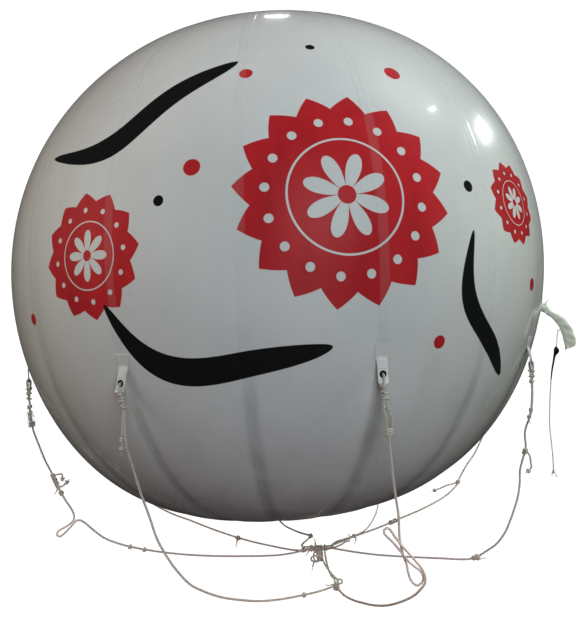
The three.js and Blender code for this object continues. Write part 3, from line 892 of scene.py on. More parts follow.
def tape_finish():
    """Black tape wound on the string, shiny on its laps."""
    finish = Finish("black_tape", Roughness=0.35)
    along = finish.mark("along")
    laps = (along * 160.0).fraction()
    wear = finish.noise(finish.place(), 120.0, 4.0, 0.6)
    colour = finish.mixed(wear.between(0.55, 0.8), (0.004, 0.004, 0.005), (0.035, 0.035, 0.037))
    finish.feed("Base Color", colour)
    finish.feed("Roughness", 0.28 + wear * 0.25)
    finish.bump(laps, 0.6, 0.0006)
    return finish.material


# Painted shade of the ropes up at the tabs: its tone between and on the strands.
ROPE_TOP_SHADE = ((0.30, 0.28, 0.24), (0.60, 0.58, 0.52))
FINISHES = {
    "rope": rope_finish(
        "bridle_rope", (1.0, 0.82, 0.76), (0.94, 0.75, 0.69), (0.72, 0.62, 0.55), 0.30, top_shade=ROPE_TOP_SHADE
    ),
    "tied": rope_finish(
        "tied_rope", (0.98, 0.84, 0.74), (0.84, 0.72, 0.60), (0.46, 0.42, 0.29), 0.75, top_shade=ROPE_TOP_SHADE
    ),
    # The white cord's painted shade between its strands is lighter.
    "white": rope_finish(
        "white_cord", (0.92, 0.92, 0.87), (0.84, 0.85, 0.79), (0.68, 0.70, 0.62), 0.4, gaps=(0.6, 0.6, 0.55)
    ),
    "patch": patch_finish("patch_film", (0.655, 0.662, 0.657), (0.55, 0.555, 0.55)),
    "tab": patch_finish("tab_film", (0.72, 0.72, 0.71), (0.58, 0.58, 0.565), 0.34),
    "strap": patch_finish("strap_film", (0.72, 0.72, 0.71), (0.58, 0.58, 0.565), 0.34, foot=True),
    "sleeve": patch_finish("sleeve_film", (0.73, 0.745, 0.62), (0.56, 0.575, 0.47), 0.32),
    "stitch": rope_finish("stitch_thread", (0.16, 0.17, 0.15), (0.10, 0.11, 0.10), (0.07, 0.07, 0.06), 0.5),
    "eyelet": metal_finish(),
    "tape": tape_finish(),
}


def dress(piece, slot, finish=None):
    piece.data.materials.clear()
    piece.data.materials.append(FINISHES[finish or slot])
    return piece


for rope, tied in bridle:
    dress(rope, "rope")
    dress(tied, "rope", "tied")
dress(pendant_rope, "rope", "tied")

# Gores

CLOSE_COLUMNS = (0, 0.005, 0.011, 0.0162, 0.0188, 0.026, 0.042)
GORE_COLUMNS = 28
GORE_ROWS = 180


def gore_place(number):
    """Where a gore's grid goes, with close columns along both of its seams."""
    first = FIRST_SEAM + number * GORE_ANGLE
    close = len(CLOSE_COLUMNS) - 1

    def azimuths(u, v):
        latitude = GORE_ENDS[0] + v * (GORE_ENDS[1] - GORE_ENDS[0])
        level = film_radius(first + GORE_ANGLE / 2, latitude) * np.cos(latitude)
        half = level * GORE_ANGLE / 2
        scale = np.minimum(1, half / 0.12)
        column = u * GORE_COLUMNS
        near = np.minimum(column, GORE_COLUMNS - column)
        edge = CLOSE_COLUMNS[-1] * scale
        inner = edge + (near - close) / (GORE_COLUMNS / 2 - close) * (half - edge)
        distance = np.where(near <= close, np.interp(near, range(close + 1), CLOSE_COLUMNS) * scale, inner)
        across = np.where(column <= GORE_COLUMNS / 2, distance, 2 * half - distance)
        return first + across / level, latitude, distance

    def place(u, v):
        azimuth, latitude, _ = azimuths(u, v)
        return film_point(azimuth, latitude)

    return place, {"seam": lambda u, v: azimuths(u, v)[2]}


def add_wall(piece, thickness):
    """Gives an open skin its wall, on the inside, with sharp rims."""
    with reworked(piece.data) as form:
        for edge in form.edges:
            edge.smooth = not edge.is_boundary
    wall = piece.modifiers.new("wall", "SOLIDIFY")
    wall.thickness = thickness
    wall.offset = -1
    return piece


def reached_motifs(number):
    """The motifs that lie at least partly on a gore."""
    first = FIRST_SEAM + number * GORE_ANGLE
    spots = [direction(first + GORE_ANGLE * share, latitude)
             for share in np.linspace(0, 1, 5) for latitude in np.radians(np.arange(-60, 70, 3))]
    found = []
    for motif in MOTIFS:
        middle = direction(math.radians(motif[1]), math.radians(motif[2]))
        nearest = min(math.acos(min(1.0, float(middle @ spot))) for spot in spots)
        if nearest * RADIUS < motif[3] * 1.1 + 0.03:
            found.append(motif)
    return found


for number in range(GORE_COUNT):
    label = f"{number + 1:02d}"
    place, marks = gore_place(number)
    gore = add_wall(shaped_grid(f"gore_skin_{label}", GORE_COLUMNS, GORE_ROWS, place, marks), WALL)
    gore.data.materials.append(film_finish(f"film_{label}", reached_motifs(number)))
    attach(gore, "envelope")
    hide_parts(f"gore_{label}")


def end_cap(name, node, side, edge_latitude):
    """The round patch welded over the gores' tips."""
    def place(u, v):
        reach = 90 - edge_latitude
        latitude = side * np.radians(90 - reach * v)
        azimuth = 2 * np.pi * u + FIRST_SEAM
        rim = np.clip((1 - v) / 0.03, 0, 1)
        pucker = 0.0004 * np.sin(32 * np.pi * u) * np.clip((v - 0.4) / 0.6, 0, 1)
        return film_point(azimuth, latitude, 0.0006 + 0.0012 * np.sqrt(rim) + pucker, welds=False)

    cap = dress(shaped_grid(name, 128, 24, place), "patch")
    with reworked(cap.data) as form:
        bmesh.ops.remove_doubles(form, verts=form.verts, dist=1e-5)
        if side < 0:
            bmesh.ops.reverse_faces(form, faces=form.faces)
    add_wall(cap, 0.0010)
    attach(cap, "envelope")
    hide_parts(node)


end_cap("crown_cap", "crown_disc", 1, 81.6)
end_cap("base_cap", "base_disc", -1, 80.6)

# Load tabs, each a strap welded to the film by its foot, with an eyelet and the rope hitched in it.

STRAP_HOLE = 0.0087
STRAP_SQUARE = 0.019
STRAP_THICKNESS = 0.0026
STRAP_RISES = (0.036, 0.030, 0.023, 0.016, 0.010, 0.005, 0.0, -0.005, -0.011, -0.019, -0.029, -0.038, -0.044)
STRAP_DROPS = (0.083, 0.088, 0.0915)
# Radius and height of the eyelet's section, in millimetres.
EYELET_OUTLINE = [
    (6.5, -2.7), (7.0, -3.1), (8.6, -3.3), (10.6, -3.3), (12.0, -2.9), (12.5, -2.3), (12.2, -1.7),
    (8.5, -1.55), (8.5, 1.55),
    (12.2, 1.7), (12.5, 2.3), (12.0, 2.9), (10.6, 3.3), (8.6, 3.3), (7.0, 3.1), (6.5, 2.7),
]

# How far each tab's eyelet hangs to the side of its hinge, and the tab that hangs a little further
# out, because the film stands out under it.
TAB_LEANS = (-0.014, 0.001, 0.004, -0.003, 0.005, -0.004, 0.003, -0.005)
TABS_OUT = {8: 0.0016}
# The distance down in which a strap comes from the film to hang under its hinge.
GAP_FADE = 0.020


def tab_axes(tab):
    """The middle of a tab's hinge, its level direction and the direction away from the film."""
    hinge = np.array(hinges[f"load_tab_{tab}"]["pos_m"])
    out = unit((hinge[0], hinge[1], 0))
    return hinge + out * TABS_OUT.get(tab, 0), np.array((-out[1], out[0], 0.0)), out


def strap_gap(tab):
    """From a tab's hinge to the place on the film where its strap leaves it."""
    hinge = tab_axes(tab)[0]
    return film_point(math.atan2(hinge[0], -hinge[1]), TAB_LATITUDE, 0.0016) - hinge


def strap_point(tab, across, down):
    """A point of the strap's middle surface: hanging below the hinge, on the film above it."""
    hinge, level, out = tab_axes(tab)
    if down > 0:
        aside = level * TAB_LEANS[tab - 1] * down / 0.060
        hinge = hinge + strap_gap(tab) * math.exp(-down / GAP_FADE) + aside
        flare = 1 + 0.26 * math.exp(-down / 0.012)
        foot = min(1, max(0, (down - 0.076) / 0.016))
        top = math.exp(-((down - 0.012) / 0.012) ** 2)
        edge = (across / 0.019) ** 2
        curl = 0.0028 * edge * foot - 0.0012 * edge * top + 0.0022 * foot**2
        return hinge + level * across * flare + out * curl - np.array((0, 0, down))
    flare = 1.26 + 0.22 * min(1, -down / 0.03)
    latitude = TAB_LATITUDE - down / RADIUS
    azimuth = math.atan2(hinge[0], -hinge[1]) + across * flare / (RADIUS * math.cos(latitude))
    settle = math.exp(down / 0.006)
    return film_point(azimuth, latitude, 0.0008 + 0.0008 * settle)


def load_strap(tab):
    form = bmesh.new()
    bmesh.ops.create_circle(form, segments=24, radius=STRAP_HOLE)
    outer = bmesh.ops.create_circle(form, segments=24, radius=STRAP_SQUARE)["verts"]
    for point in outer:
        point.co *= STRAP_SQUARE / max(abs(point.co.x), abs(point.co.y))
    bmesh.ops.bridge_loops(form, edges=form.edges[:])
    above = [-EYELET_HEIGHT - rise for rise in STRAP_RISES]
    below = [-EYELET_HEIGHT - drop for drop in STRAP_DROPS]
    for start, heights in ((STRAP_SQUARE, above), (-STRAP_SQUARE, below)):
        for rim_height, height in zip([start, *heights], heights):
            rim = [edge for edge in form.edges if edge.is_boundary
                   and all(abs(point.co.y - rim_height) < 1e-6 for point in edge.verts)]
            grown = bmesh.ops.extrude_edge_only(form, edges=rim)["geom"]
            for point in (part for part in grown if isinstance(part, bmesh.types.BMVert)):
                point.co.y = height
    level_edges = [edge for edge in form.edges if abs(edge.verts[0].co.x - edge.verts[1].co.x) > 1e-6
                   and abs(edge.verts[0].co.y - edge.verts[1].co.y) < 1e-6]
    bmesh.ops.subdivide_edges(form, edges=level_edges, cuts=1)
    for point in form.verts:
        across, up = point.co.x, point.co.y
        trim = 0.88 if up < below[-1] + 1e-6 else 0.90 if up > above[-1] - 1e-6 else 1.0
        point.co = strap_point(tab, across * trim, -EYELET_HEIGHT - up)
    bmesh.ops.recalc_face_normals(form, faces=form.faces)
    if sum(face.normal.dot(Vector(tab_axes(tab)[2])) for face in form.faces) < 0:
        bmesh.ops.reverse_faces(form, faces=form.faces)
    for point in form.verts:
        point.co += point.normal * (STRAP_THICKNESS / 2)
    bmesh.ops.solidify(form, geom=form.faces[:], thickness=STRAP_THICKNESS)
    bmesh.ops.recalc_face_normals(form, faces=form.faces)
    sharp = [edge for edge in form.edges if edge.is_manifold and edge.calc_face_angle() > math.radians(50)]
    bmesh.ops.bevel(form, geom=sharp, offset=0.0005, segments=2, affect="EDGES", profile=0.5, material=-1)
    return piece_from(f"load_strap_{tab}", form)


def strap_pad(tab):
    """The patch welded on the strap above its eyelet."""
    hinge, level, out = tab_axes(tab)

    def place(u, v):
        across, down = (u - 0.5) * 0.034, 0.008 + v * 0.034
        corner = math.prod(np.clip((np.abs(way - 0.5) - 0.46) / 0.04, 0, 1) for way in (u, v))
        rim = np.minimum(np.minimum(u, 1 - u), np.minimum(v, 1 - v))
        rise = 0.0012 + 0.0009 * np.clip(rim / 0.06, 0, 1)
        across = across * (1 - 0.08 * corner) + TAB_LEANS[tab - 1] * down / 0.060
        return (
            hinge + np.outer(across, level) + np.outer(rise, out) - np.outer(down, (0, 0, 1))
            + np.outer(np.exp(-down / GAP_FADE), strap_gap(tab))
        )

    return shaped_grid(f"strap_pad_{tab}", 12, 12, place)


def eyelet_ring(tab):
    hinge, level, out = tab_axes(tab)
    outline = [(radius / 1000, height / 1000) for radius, height in EYELET_OUTLINE]
    form = spun_form(outline, 32, closed=True, merge=1e-7)
    seat = hinge + np.array((0, 0, EYELET_HEIGHT)) + level * TAB_LEANS[tab - 1]
    seat = seat + strap_gap(tab) * math.exp(EYELET_HEIGHT / GAP_FADE)
    turn = Matrix((level, np.cross(out, level), out)).transposed().to_4x4()
    bmesh.ops.transform(form, matrix=Matrix.Translation(seat) @ turn, verts=form.verts)
    return piece_from(f"eyelet_{tab}", form)


# The hitch's rope: level, outward and downward distances from the hinge, in millimetres.
HITCH_LINE = [
    (0.3, 0.5, 150), (0.2, 1.2, 138), (0, 2.8, 124), (0, 4.2, 108), (0, 5.8, 94), (0, 7.2, 82),
    (0, 7.6, 69), (0, 6.0, 62.4), (0, 3.0, 60.6), (0, 0, 60.2), (0, -3.0, 60.6), (0, -6.0, 62.4),
    (0, -7.6, 69), (0, -7.0, 82), (0.6, -5.4, 94), (2.4, -4.2, 108), (5.6, -2.4, 124), (7.6, -0.8, 138),
    (8.2, 0, 150),
]
# Wraps round the two strands: distance down and sideways shift in millimetres, turns, start,
# radius and flatness.
HITCH_TURNS = (
    (98.0, 0.4, 1.14, 0.4, 0.0088, 1.28),
    (119.0, 2.8, 1.10, 2.1, 0.0104, 0.86),
    (141.0, 4.0, 1.12, 4.0, 0.0112, 0.72),
)


def rope_hitch(tab):
    hinge, level, out = tab_axes(tab)
    side = -1 if tab % 2 else 1

    def at(across, away, down):
        lean = np.interp(down, (0, 60, 75, 100, 150), (0, 1, 1.05, 0.8, 0)) * TAB_LEANS[tab - 1]
        aside = across / 1000 * side + lean
        return hinge + level * aside + out * (away / 1000) - np.array((0, 0, down / 1000))

    name = f"rope_hitch_{tab}"
    pieces = [rope_run(name, smooth_line([at(*point) for point in HITCH_LINE], 8), 0.98)]
    for down, shift, turns, start, radius, flat in HITCH_TURNS:
        tilt = np.array((0, 0, 1.0)) + level * 0.16 * math.sin(start + tab)
        points = helix(
            at(shift, 0, down), tilt, radius, turns, 0.0070, start=start + tab, flat=flat, across=level
        )
        pieces.append(rope_run(name, points, 0.86))
    return join_pieces(name, pieces)


for tab in range(1, TAB_COUNT + 1):
    body = f"load_tab_{tab}"
    strap = load_strap(tab)
    dress(strap, "tab", "strap")
    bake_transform(strap)
    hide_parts(f"tab_{tab}")
    pad = strap_pad(tab)
    dress(pad, "tab")
    add_wall(pad, 0.0006)
    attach(pad, body)
    ring = dress(eyelet_ring(tab), "eyelet")
    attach(ring, body)
    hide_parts(f"grommet_{tab}")
    hitch = dress(rope_hitch(tab), "rope", "tied")
    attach(hitch, body)
    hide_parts(f"hitch_{tab}")

# The lashing that gathers the ropes, and the hank of spare rope that hangs from it.

gather = np.array(GATHER)
knot_rng = np.random.default_rng(11)
# The rope's end that is left over at the lashing: points from its middle, in millimetres.
SPARE_ROPE = (
    (46, -14, 3), (62, -18, 2), (88, -20, 8), (112, -20, 17), (132, -18, 28), (150, -14, 31), (151, -10, 46),
)


def lashing_pieces():
    name = "gather_lashing"
    left, right = gather[0] - 0.0453, gather[0] + 0.0453
    pieces = []
    for y, z in ((-0.007, -0.001), (0.006, 0.006), (0.007, -0.008)):
        run = [(x, y * pinch, gather[2] + z * pinch + 0.002 * math.sin(60 * x))
               for x, pinch in zip(np.linspace(left, right, 7), (1, 0.85, 0.68, 0.62, 0.66, 0.82, 1))]
        pieces.append(rope_run(name, smooth_line(run, 4)))
    for shift, turns, pitch, radius, tilt in (
        (-0.030, 1.6, 0.0090, 0.0126, 0.16), (-0.006, 2.2, 0.0088, 0.0112, -0.14),
        (0.016, 1.5, 0.0092, 0.0114, 0.20), (0.035, 1.3, 0.0088, 0.0126, 0.08),
    ):
        points = helix(gather + (shift, 0, 0), (1, tilt, 0.5 * tilt), radius, turns, pitch, start=40 * shift)
        pieces.append(rope_run(name, points, 0.88))
    spare = [gather + np.array(offset) / 1000 for offset in SPARE_ROPE]
    pieces += loose_end(name, spare, knot_rng)
    for start, way, length in (
        ((-0.040, -0.010, -0.006), (-0.8, -0.5, -0.6), 0.014),
        ((0.010, -0.014, 0.008), (-0.25, -0.8, 0.75), 0.014),
        ((-0.012, 0.014, 0.010), (0.3, 0.7, 0.8), 0.018),
    ):
        pieces += frayed_end(name, gather + start, way, length, knot_rng)
    return join_pieces(name, pieces)


def hank_pieces():
    """Spare rope in upright turns, held at the top by the lashing."""
    name = "gather_hank"
    pieces = []
    for shift, lean, wide, tall, turns in (
        ((-0.014, -0.0130, -0.047), 0.10, 0.0215, 0.68, 1.10),
        ((-0.009, -0.0045, -0.037), -0.12, 0.0135, 1.75, 1.05),
        ((0.004, 0.0040, -0.034), 0.02, 0.0098, 2.90, 1.03),
        ((0.012, -0.0040, -0.033), -0.05, 0.0086, 3.05, 1.04),
    ):
        points = helix(gather + shift, (lean, 1, 0.1 * lean), wide, turns, 0.006, start=1.5 + 9 * lean,
                       flat=tall, across=(1, 0, 0), steps=28)
        pieces.append(rope_run(name, points, 0.92))
    waist = helix(gather + (-0.002, 0, -0.019), (0.1, 0.05, 1), 0.0150, 1.2, 0.0082,
                  flat=0.70, across=(1, 0, 0))
    pieces.append(rope_run(name, waist, 0.92))
    pieces += frayed_end(name, gather + (-0.022, -0.004, -0.066), (-0.35, -0.2, -0.9), 0.020, knot_rng)
    return join_pieces(name, pieces)


gather_lashing = dress(lashing_pieces(), "rope", "tied")
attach(gather_lashing, "envelope")
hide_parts("gather_knot")
gather_hank = dress(hank_pieces(), "rope", "tied")
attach(gather_hank, "envelope")

# The pendant: two strands down to the knot of the front ropes, and a small ring bight on it.

knot_middle = np.array(PENDANT_KNOT)
second_points = np.array([
    [140, -6, -1319], [147, -15, -1340], [158, -33, -1366], [178, -62, -1394], [199, -92, -1412],
    [212, -107, -1422], [213, -113, -1433],
]) / 1000
second_line = smooth_line(second_points, 24)
second_strand, second_path = cord_tube("pendant_rope_back", second_line, ROPE_RADIUS, lay=ROPE_LAY)
dress(second_strand, "rope", "tied")
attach(second_strand, "envelope")


def pendant_knot_pieces():
    name = "pendant_lashing"
    pieces = []
    for shift in ((-0.0045, 0.001), (0.0045, -0.002)):
        run = [knot_middle + (*shift, rise) for rise in (-0.0165, 0.0, 0.0170)]
        pieces.append(rope_run(name, smooth_line(run, 6)))
    for rise, turns, radius, tilt in ((-0.008, 1.9, 0.0105, 0.2), (0.0085, 1.6, 0.0110, -0.25)):
        points = helix(knot_middle + (0, 0, rise), (tilt, -0.5 * tilt, 1), radius, turns, 0.0084,
                       start=90 * rise)
        pieces.append(rope_run(name, points, 0.95))
    bight = helix(knot_middle + (0.016, -0.002, 0.021), (0, 1, 0.2), 0.0118, 1.06, 0.004,
                  start=2.4, across=(1, 0, 0), steps=30)
    pieces.append(rope_run(name, bight, 0.9))
    pieces += frayed_end(name, knot_middle + (0.010, -0.006, -0.010), (0.5, -0.2, -0.8), 0.022, knot_rng)
    pieces += frayed_end(name, knot_middle + (-0.010, -0.004, 0.008), (-0.9, -0.3, 0.2), 0.018, knot_rng)
    return join_pieces(name, pieces)


pendant_lashing = dress(pendant_knot_pieces(), "rope", "tied")
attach(pendant_lashing, "envelope")
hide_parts("pendant_knot")

# Inflation sleeve: its welded flange, the pleated neck under a lashing, and the limp tube.

SLEEVE_AZIMUTH = FIRST_SEAM + 4.5 * GORE_ANGLE
SLEEVE_LATITUDE = math.radians(-9.69)
sleeve_root = film_point(SLEEVE_AZIMUTH, SLEEVE_LATITUDE, -0.0013, welds=False)
sleeve_out = np.array((math.sin(SLEEVE_AZIMUTH), -math.cos(SLEEVE_AZIMUTH), 0))
sleeve_level = np.array((math.cos(SLEEVE_AZIMUTH), math.sin(SLEEVE_AZIMUTH), 0))
# Distance out and rise from the root, half width and half thickness, in millimetres.
SLEEVE_SECTIONS = np.array([
    (0, 0, 16, 16), (9, -3, 13, 12), (18, -10, 12, 11), (36, -28, 17, 12), (62, -49, 20, 11.5),
    (86, -76, 22.5, 11), (104, -114, 24.5, 10), (113, -155, 24.5, 9), (113.5, -183, 21, 8),
]) / 1000


def sleeve_centre(sections):
    return sleeve_root + np.outer(sections[:, 0], sleeve_out) + np.outer(sections[:, 1], (0, 0, 1))


sleeve_line = smooth_line(sleeve_centre(SLEEVE_SECTIONS), 24)
sleeve_widths = smooth_line(np.column_stack([SLEEVE_SECTIONS[:, 2:], np.arange(9) / 1000]), 24)
sleeve_line, sleeve_length = even_line(sleeve_line, 0.0028)


def sleeve_ring(v):
    """Centre, half widths and side directions at a share of the sleeve's length."""
    tangents = np.gradient(sleeve_line, axis=0)
    tangents /= np.linalg.norm(tangents, axis=1)[:, None]
    under = np.cross(sleeve_level, tangents)
    under /= np.linalg.norm(under, axis=1)[:, None]
    at = v * (len(sleeve_line) - 1)
    low = np.clip(at.astype(int), 0, len(sleeve_line) - 2)
    part = (at - low)[:, None]

    def along(values):
        return values[low] * (1 - part) + values[low + 1] * part

    steps = np.linspace(0, 1, len(sleeve_widths))
    wide, thick = (np.interp(v, steps, sleeve_widths[:, i]) for i in (0, 1))
    return along(sleeve_line), wide, thick, along(under), along(tangents)


def sleeve_place(u, v):
    centre, wide, thick, under, tangent = sleeve_ring(v)
    angle = 2 * np.pi * u
    gathered = np.exp(-(((v - 0.085) / 0.075) ** 2))
    limp = np.clip((v - 0.22) / 0.25, 0, 1)
    pleats = 1 + 0.13 * gathered * np.cos(11 * angle + 0.6) + 0.05 * gathered * np.cos(17 * angle)
    radial_folds = 0.10 * np.exp(-(((v - 0.20) / 0.10) ** 2)) * np.cos(7 * angle + 1.1)
    x = np.sign(np.cos(angle)) * np.abs(np.cos(angle)) ** (1 - 0.12 * limp)
    y = np.sin(angle) * (1 - 0.35 * limp * np.abs(np.cos(angle)) ** 3)
    ripple = limp * (
        0.0016 * np.sin(95 * v * sleeve_length + 2.2 * np.cos(angle)) * np.cos(angle)
        + 0.0013 * np.sin(160 * v * sleeve_length + 3 * np.cos(angle))
    )
    hollow = -0.0035 * limp * np.exp(-((np.cos(angle) / 0.45) ** 2)) * (0.6 + 0.4 * np.sin(21 * v))
    bulge = thick * y * (pleats + radial_folds) + np.sign(y) * (hollow + ripple * np.abs(y))
    fold = 0.0022 * limp * np.sin(38 * v * sleeve_length + 1.2)
    spread = wide * x * (pleats + radial_folds) * (1 + 0.03 * limp * np.sin(31 * v + 2 * angle))
    rim = np.clip((v - 0.93) / 0.07, 0, 1)
    bulge = bulge * (1 + 0.35 * rim) + 0.004 * rim * np.sin(2 * angle + 0.7)
    end = rim * (0.008 * np.cos(angle) + 0.003 * np.sin(3 * angle))
    return centre + under * spread[:, None] + np.outer(bulge + fold, sleeve_level) + tangent * end[:, None]


sleeve = dress(shaped_grid("inflation_sleeve", 72, 110, sleeve_place), "sleeve")
sleeve_middle = Vector(sleeve_line[len(sleeve_line) // 2])
close_seams(sleeve, lambda face: face.calc_center_median() - sleeve_middle)
add_wall(sleeve, 0.0011)
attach(sleeve, "envelope")
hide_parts("filler_sleeve")


def sleeve_flange():
    """The round patch that carries the sleeve, puckered towards the neck."""
    def place(u, v):
        angle, reach = 2 * np.pi * u, 0.014 + 0.031 * v
        puckers = 0.0012 * np.cos(13 * angle + 0.8) * (1 - v) + 0.0006 * np.cos(9 * angle) * v * (1 - v)
        neck = 0.0045 * np.exp(-v / 0.12)
        rim = 0.0014 * np.sqrt(np.clip((1 - v) / 0.06, 0, 1))
        azimuth = SLEEVE_AZIMUTH + reach * np.cos(angle) / (RADIUS * math.cos(SLEEVE_LATITUDE))
        latitude = SLEEVE_LATITUDE + reach * np.sin(angle) / RADIUS
        return film_point(azimuth, latitude, 0.0005 + rim + neck + puckers * (1 - v * 0.5), welds=False)

    flange = dress(shaped_grid("sleeve_flange", 96, 14, place), "patch")
    close_seams(flange, lambda face: Vector(sleeve_out))
    return add_wall(flange, 0.0007)


flange = sleeve_flange()
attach(flange, "envelope")
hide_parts("filler_flange")

# The lashing round the sleeve's neck, with its two pointed ends.
neck = sleeve_centre(np.array([(0.0140, -0.006, 0, 0)]))[0]
neck_way = sleeve_centre(SLEEVE_SECTIONS[2:3])[0] - sleeve_centre(SLEEVE_SECTIONS[1:2])[0]


def thin_cord(name, points, radius, spacing=0.002):
    """Laid cord of the neck lashing and of the string's knot."""
    return cord_tube(name, points, radius, sides=9, lay=0.014, spacing=spacing)[0]


def neck_lashing():
    name = "neck_lashing"
    pieces = []
    for shift, turns, radius, start in ((-0.002, 3.2, 0.0146, 0.4), (0.0025, 2.3, 0.0168, 2.0)):
        points = helix(neck + unit(neck_way) * shift, neck_way, radius, turns, 0.0036, start=start)
        pieces.append(thin_cord(name, points, 0.0019))
    for way, length in (((0.25, -0.35, 0.95), 0.014), ((0.1, -0.6, -0.8), 0.012)):
        pieces += frayed_end(name, neck + unit(way) * 0.016, way, length, knot_rng)
    return join_pieces(name, pieces)


lashing = dress(neck_lashing(), "tie", "white")
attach(lashing, "envelope")
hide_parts("sleeve_tie")


def sleeve_stitches():
    """Long stitches along the sleeve's outer fold."""
    pieces = []
    for share in np.linspace(0.33, 0.95, 22):
        v = np.array([share, share + 0.009])
        centre, wide, _, under, _ = sleeve_ring(v)
        spots = sleeve_place(np.array([0.5, 0.5]) - 0.045, v)
        away = spots - centre
        away /= np.linalg.norm(away, axis=1)[:, None]
        ends = spots + away * 0.0006
        middle = (ends[0] + ends[1]) / 2 + away[0] * 0.0009
        stitch = smooth_line([ends[0], middle, ends[1]], 3)
        pieces.append(cord_tube("sleeve_stitches", stitch, 0.0008, sides=6, spacing=0.001)[0])
    return join_pieces("sleeve_stitches", pieces)


stitches = dress(sleeve_stitches(), "sleeve", "stitch")
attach(stitches, "envelope")

# The tie string, from under the sleeve down to its knotted end, with black tape wound on it.
STRING_ROUTE = np.array([
    [1179, -416, -368], [1172, -416, -392], [1164, -416, -430], [1152, -417, -480], [1144, -418, -530],
    [1138, -419, -580], [1133, -420, -630], [1129, -420, -680], [1128, -420, -730], [1131, -420, -785],
    [1134, -420, -840], [1134, -420, -884], [1134, -420, -900],
]) / 1000
centre, wide, _, under, _ = sleeve_ring(np.array([0.60]))
held_at = centre[0] + under[0] * (wide[0] + 0.0003)
string_line = smooth_line(np.vstack([held_at, held_at + under[0] * 0.008, STRING_ROUTE]), 20)
tie_string, string_path = cord_tube("sleeve_string", string_line, 0.0027, lay=0.016, spacing=0.002)
dress(tie_string, "tie", "white")
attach(tie_string, "envelope")
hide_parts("tie_string")


# The tape's thickness at shares of its length, as shares of its radius.
TAPE_TAPER = (
    (0, 0.04, 0.08, 0.12, 0.17, 0.22, 0.29, 0.42, 0.7, 0.96, 1),
    (0.28, 0.62, 0.92, 1, 0.90, 0.62, 0.44, 0.36, 0.31, 0.24, 0.20),
)


def string_tape():
    """Black tape round the string: a fat winding that thins downwards."""
    lengths = np.concatenate([[0], np.cumsum(np.linalg.norm(np.diff(string_path, axis=0), axis=1))])
    aside = sleeve_out * 0.005
    stretch = string_path + np.outer(np.exp(-(((lengths - 0.118) / 0.012) ** 2)), aside)
    stretch = stretch[(lengths > 0.098) & (lengths < 0.245)]
    return cord_tube("string_tape", stretch, 0.0115, sides=20, spacing=0.002, taper=TAPE_TAPER)[0]


tape = dress(string_tape(), "tie", "tape")
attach(tape, "envelope")


def end_knot():
    name = "string_end_knot"
    middle = np.array((1.134, -0.420, -0.9053))
    pieces = [
        thin_cord(name, helix(middle, (0.3, 0.2, 1), 0.0026, 2.4, 0.0030), 0.0019, 0.0015),
        thin_cord(name, helix(middle, (1, 0.3, 0.2), 0.0024, 1.4, 0.0030), 0.0018, 0.0015),
    ]
    for way in ((0.2, -0.1, -1), (-0.5, 0.2, -0.8)):
        pieces += frayed_end(name, middle + unit(way) * 0.001, way, 0.012, knot_rng)
    return join_pieces(name, pieces)


string_end = dress(end_knot(), "tie", "white")
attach(string_end, "envelope")
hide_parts("string_knot")

# Pale floor far below, which rises all round and closes overhead, and soft studio lamps.

def studio_floor():
    level, radius, rise = -12.0, 8.5, 3.2
    outline = [(0.001, level), (4, level), (radius, level)]
    for turn in np.linspace(0.12, math.pi / 2, 10):
        outline.append((radius + rise * math.sin(turn), level + rise - rise * math.cos(turn)))
    outline += [(radius + rise, 8), (7, 14), (0.001, 15)]
    floor = piece_from("studio_floor", spun_form(outline, 72, closed=False, merge=0.002))
    finish = Finish("studio_floor", Roughness=0.9, Emission_Color=(1, 1, 1, 1), Emission_Strength=1.0)
    place = finish.place()
    finish.feed("Base Color", finish.mixed(finish.noise(place, 3.0), (0.80, 0.80, 0.80), (0.76, 0.76, 0.765)))
    floor.data.materials.append(finish.material)
    floor.visible_diffuse = False
    floor.visible_glossy = False


studio_floor()

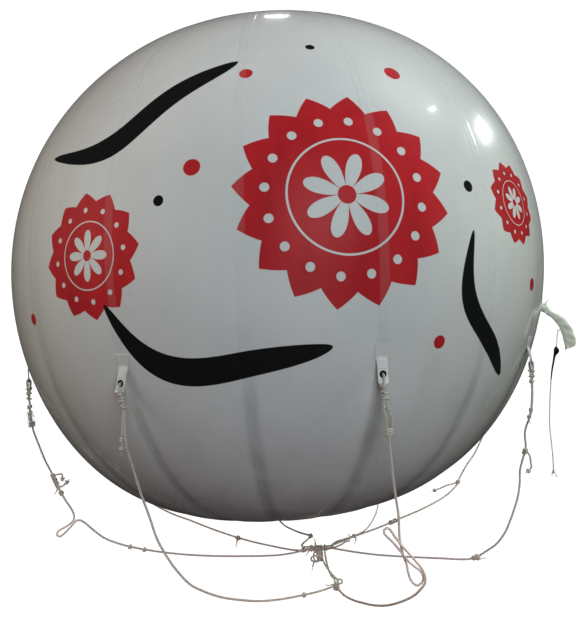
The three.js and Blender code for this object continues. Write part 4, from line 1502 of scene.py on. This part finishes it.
# Name, direction from the balloon's middle, distance, size, power, colour, and whether the film
# mirrors it. The wide ones only fill.
LAMPS = [
    ("window", (0.792, 0.267, 0.550), 6.5, (1.30, 0.52), 26, (0.94, 1.0, 0.97), True),
    ("ceiling_right", (0.697, -0.038, 0.716), 6.5, (0.50, 0.15), 2.6, (0.95, 0.99, 1.0), True),
    ("ceiling_back", (0.013, 0.533, 0.846), 6.5, (0.45, 0.5), 4, (1.0, 1.0, 0.97), True),
    ("top_right", (0.62, -0.10, 0.78), 5.5, (2.0, 2.0), 176, (0.98, 1.0, 1.0), False),
    ("top_left", (-0.55, -0.25, 0.80), 6.0, (3.0, 3.0), 99, (1.0, 0.83, 0.79), False),
    ("right", (0.97, -0.15, 0.20), 6.0, (3.0, 3.0), 74, (0.96, 1.0, 0.72), False),
    ("left", (-0.95, -0.25, 0.25), 6.0, (3.0, 3.0), 102, (1.0, 0.93, 0.75), False),
    ("front", (0.25, -0.93, 0.27), 6.5, (2.8, 2.8), 132, (0.71, 0.96, 1.0), False),
    ("low_front", (0.10, -0.95, -0.25), 6.0, (3.0, 3.0), 56, (1.0, 0.77, 0.81), False),
    ("back_wide", (0.10, 0.90, 0.40), 6.0, (5.0, 5.0), 120, (1.0, 1.0, 1.0), False),
]


def add_lamps():
    for name, way, distance, size, power, colour, mirrored in LAMPS:
        light = bpy.data.lights.new(name, "AREA")
        light.shape = "RECTANGLE"
        light.size, light.size_y = size
        light.energy, light.color = power, colour
        lamp = bpy.data.objects.new(name, light)
        lamp.location = Vector(way).normalized() * distance
        lamp.rotation_euler = (-lamp.location).to_track_quat("-Z", "Y").to_euler()
        lamp.visible_camera = False
        lamp.visible_glossy = mirrored
        bpy.context.scene.collection.objects.link(lamp)
    world = bpy.data.worlds.new("room")
    bpy.context.scene.world = world
    world.use_nodes = True
    background = world.node_tree.nodes["Background"].inputs
    background["Color"].default_value = (0.92, 0.96, 1.0, 1)
    background["Strength"].default_value = 0.02


add_lamps()
bpy.context.scene.view_settings.view_transform = "Standard"
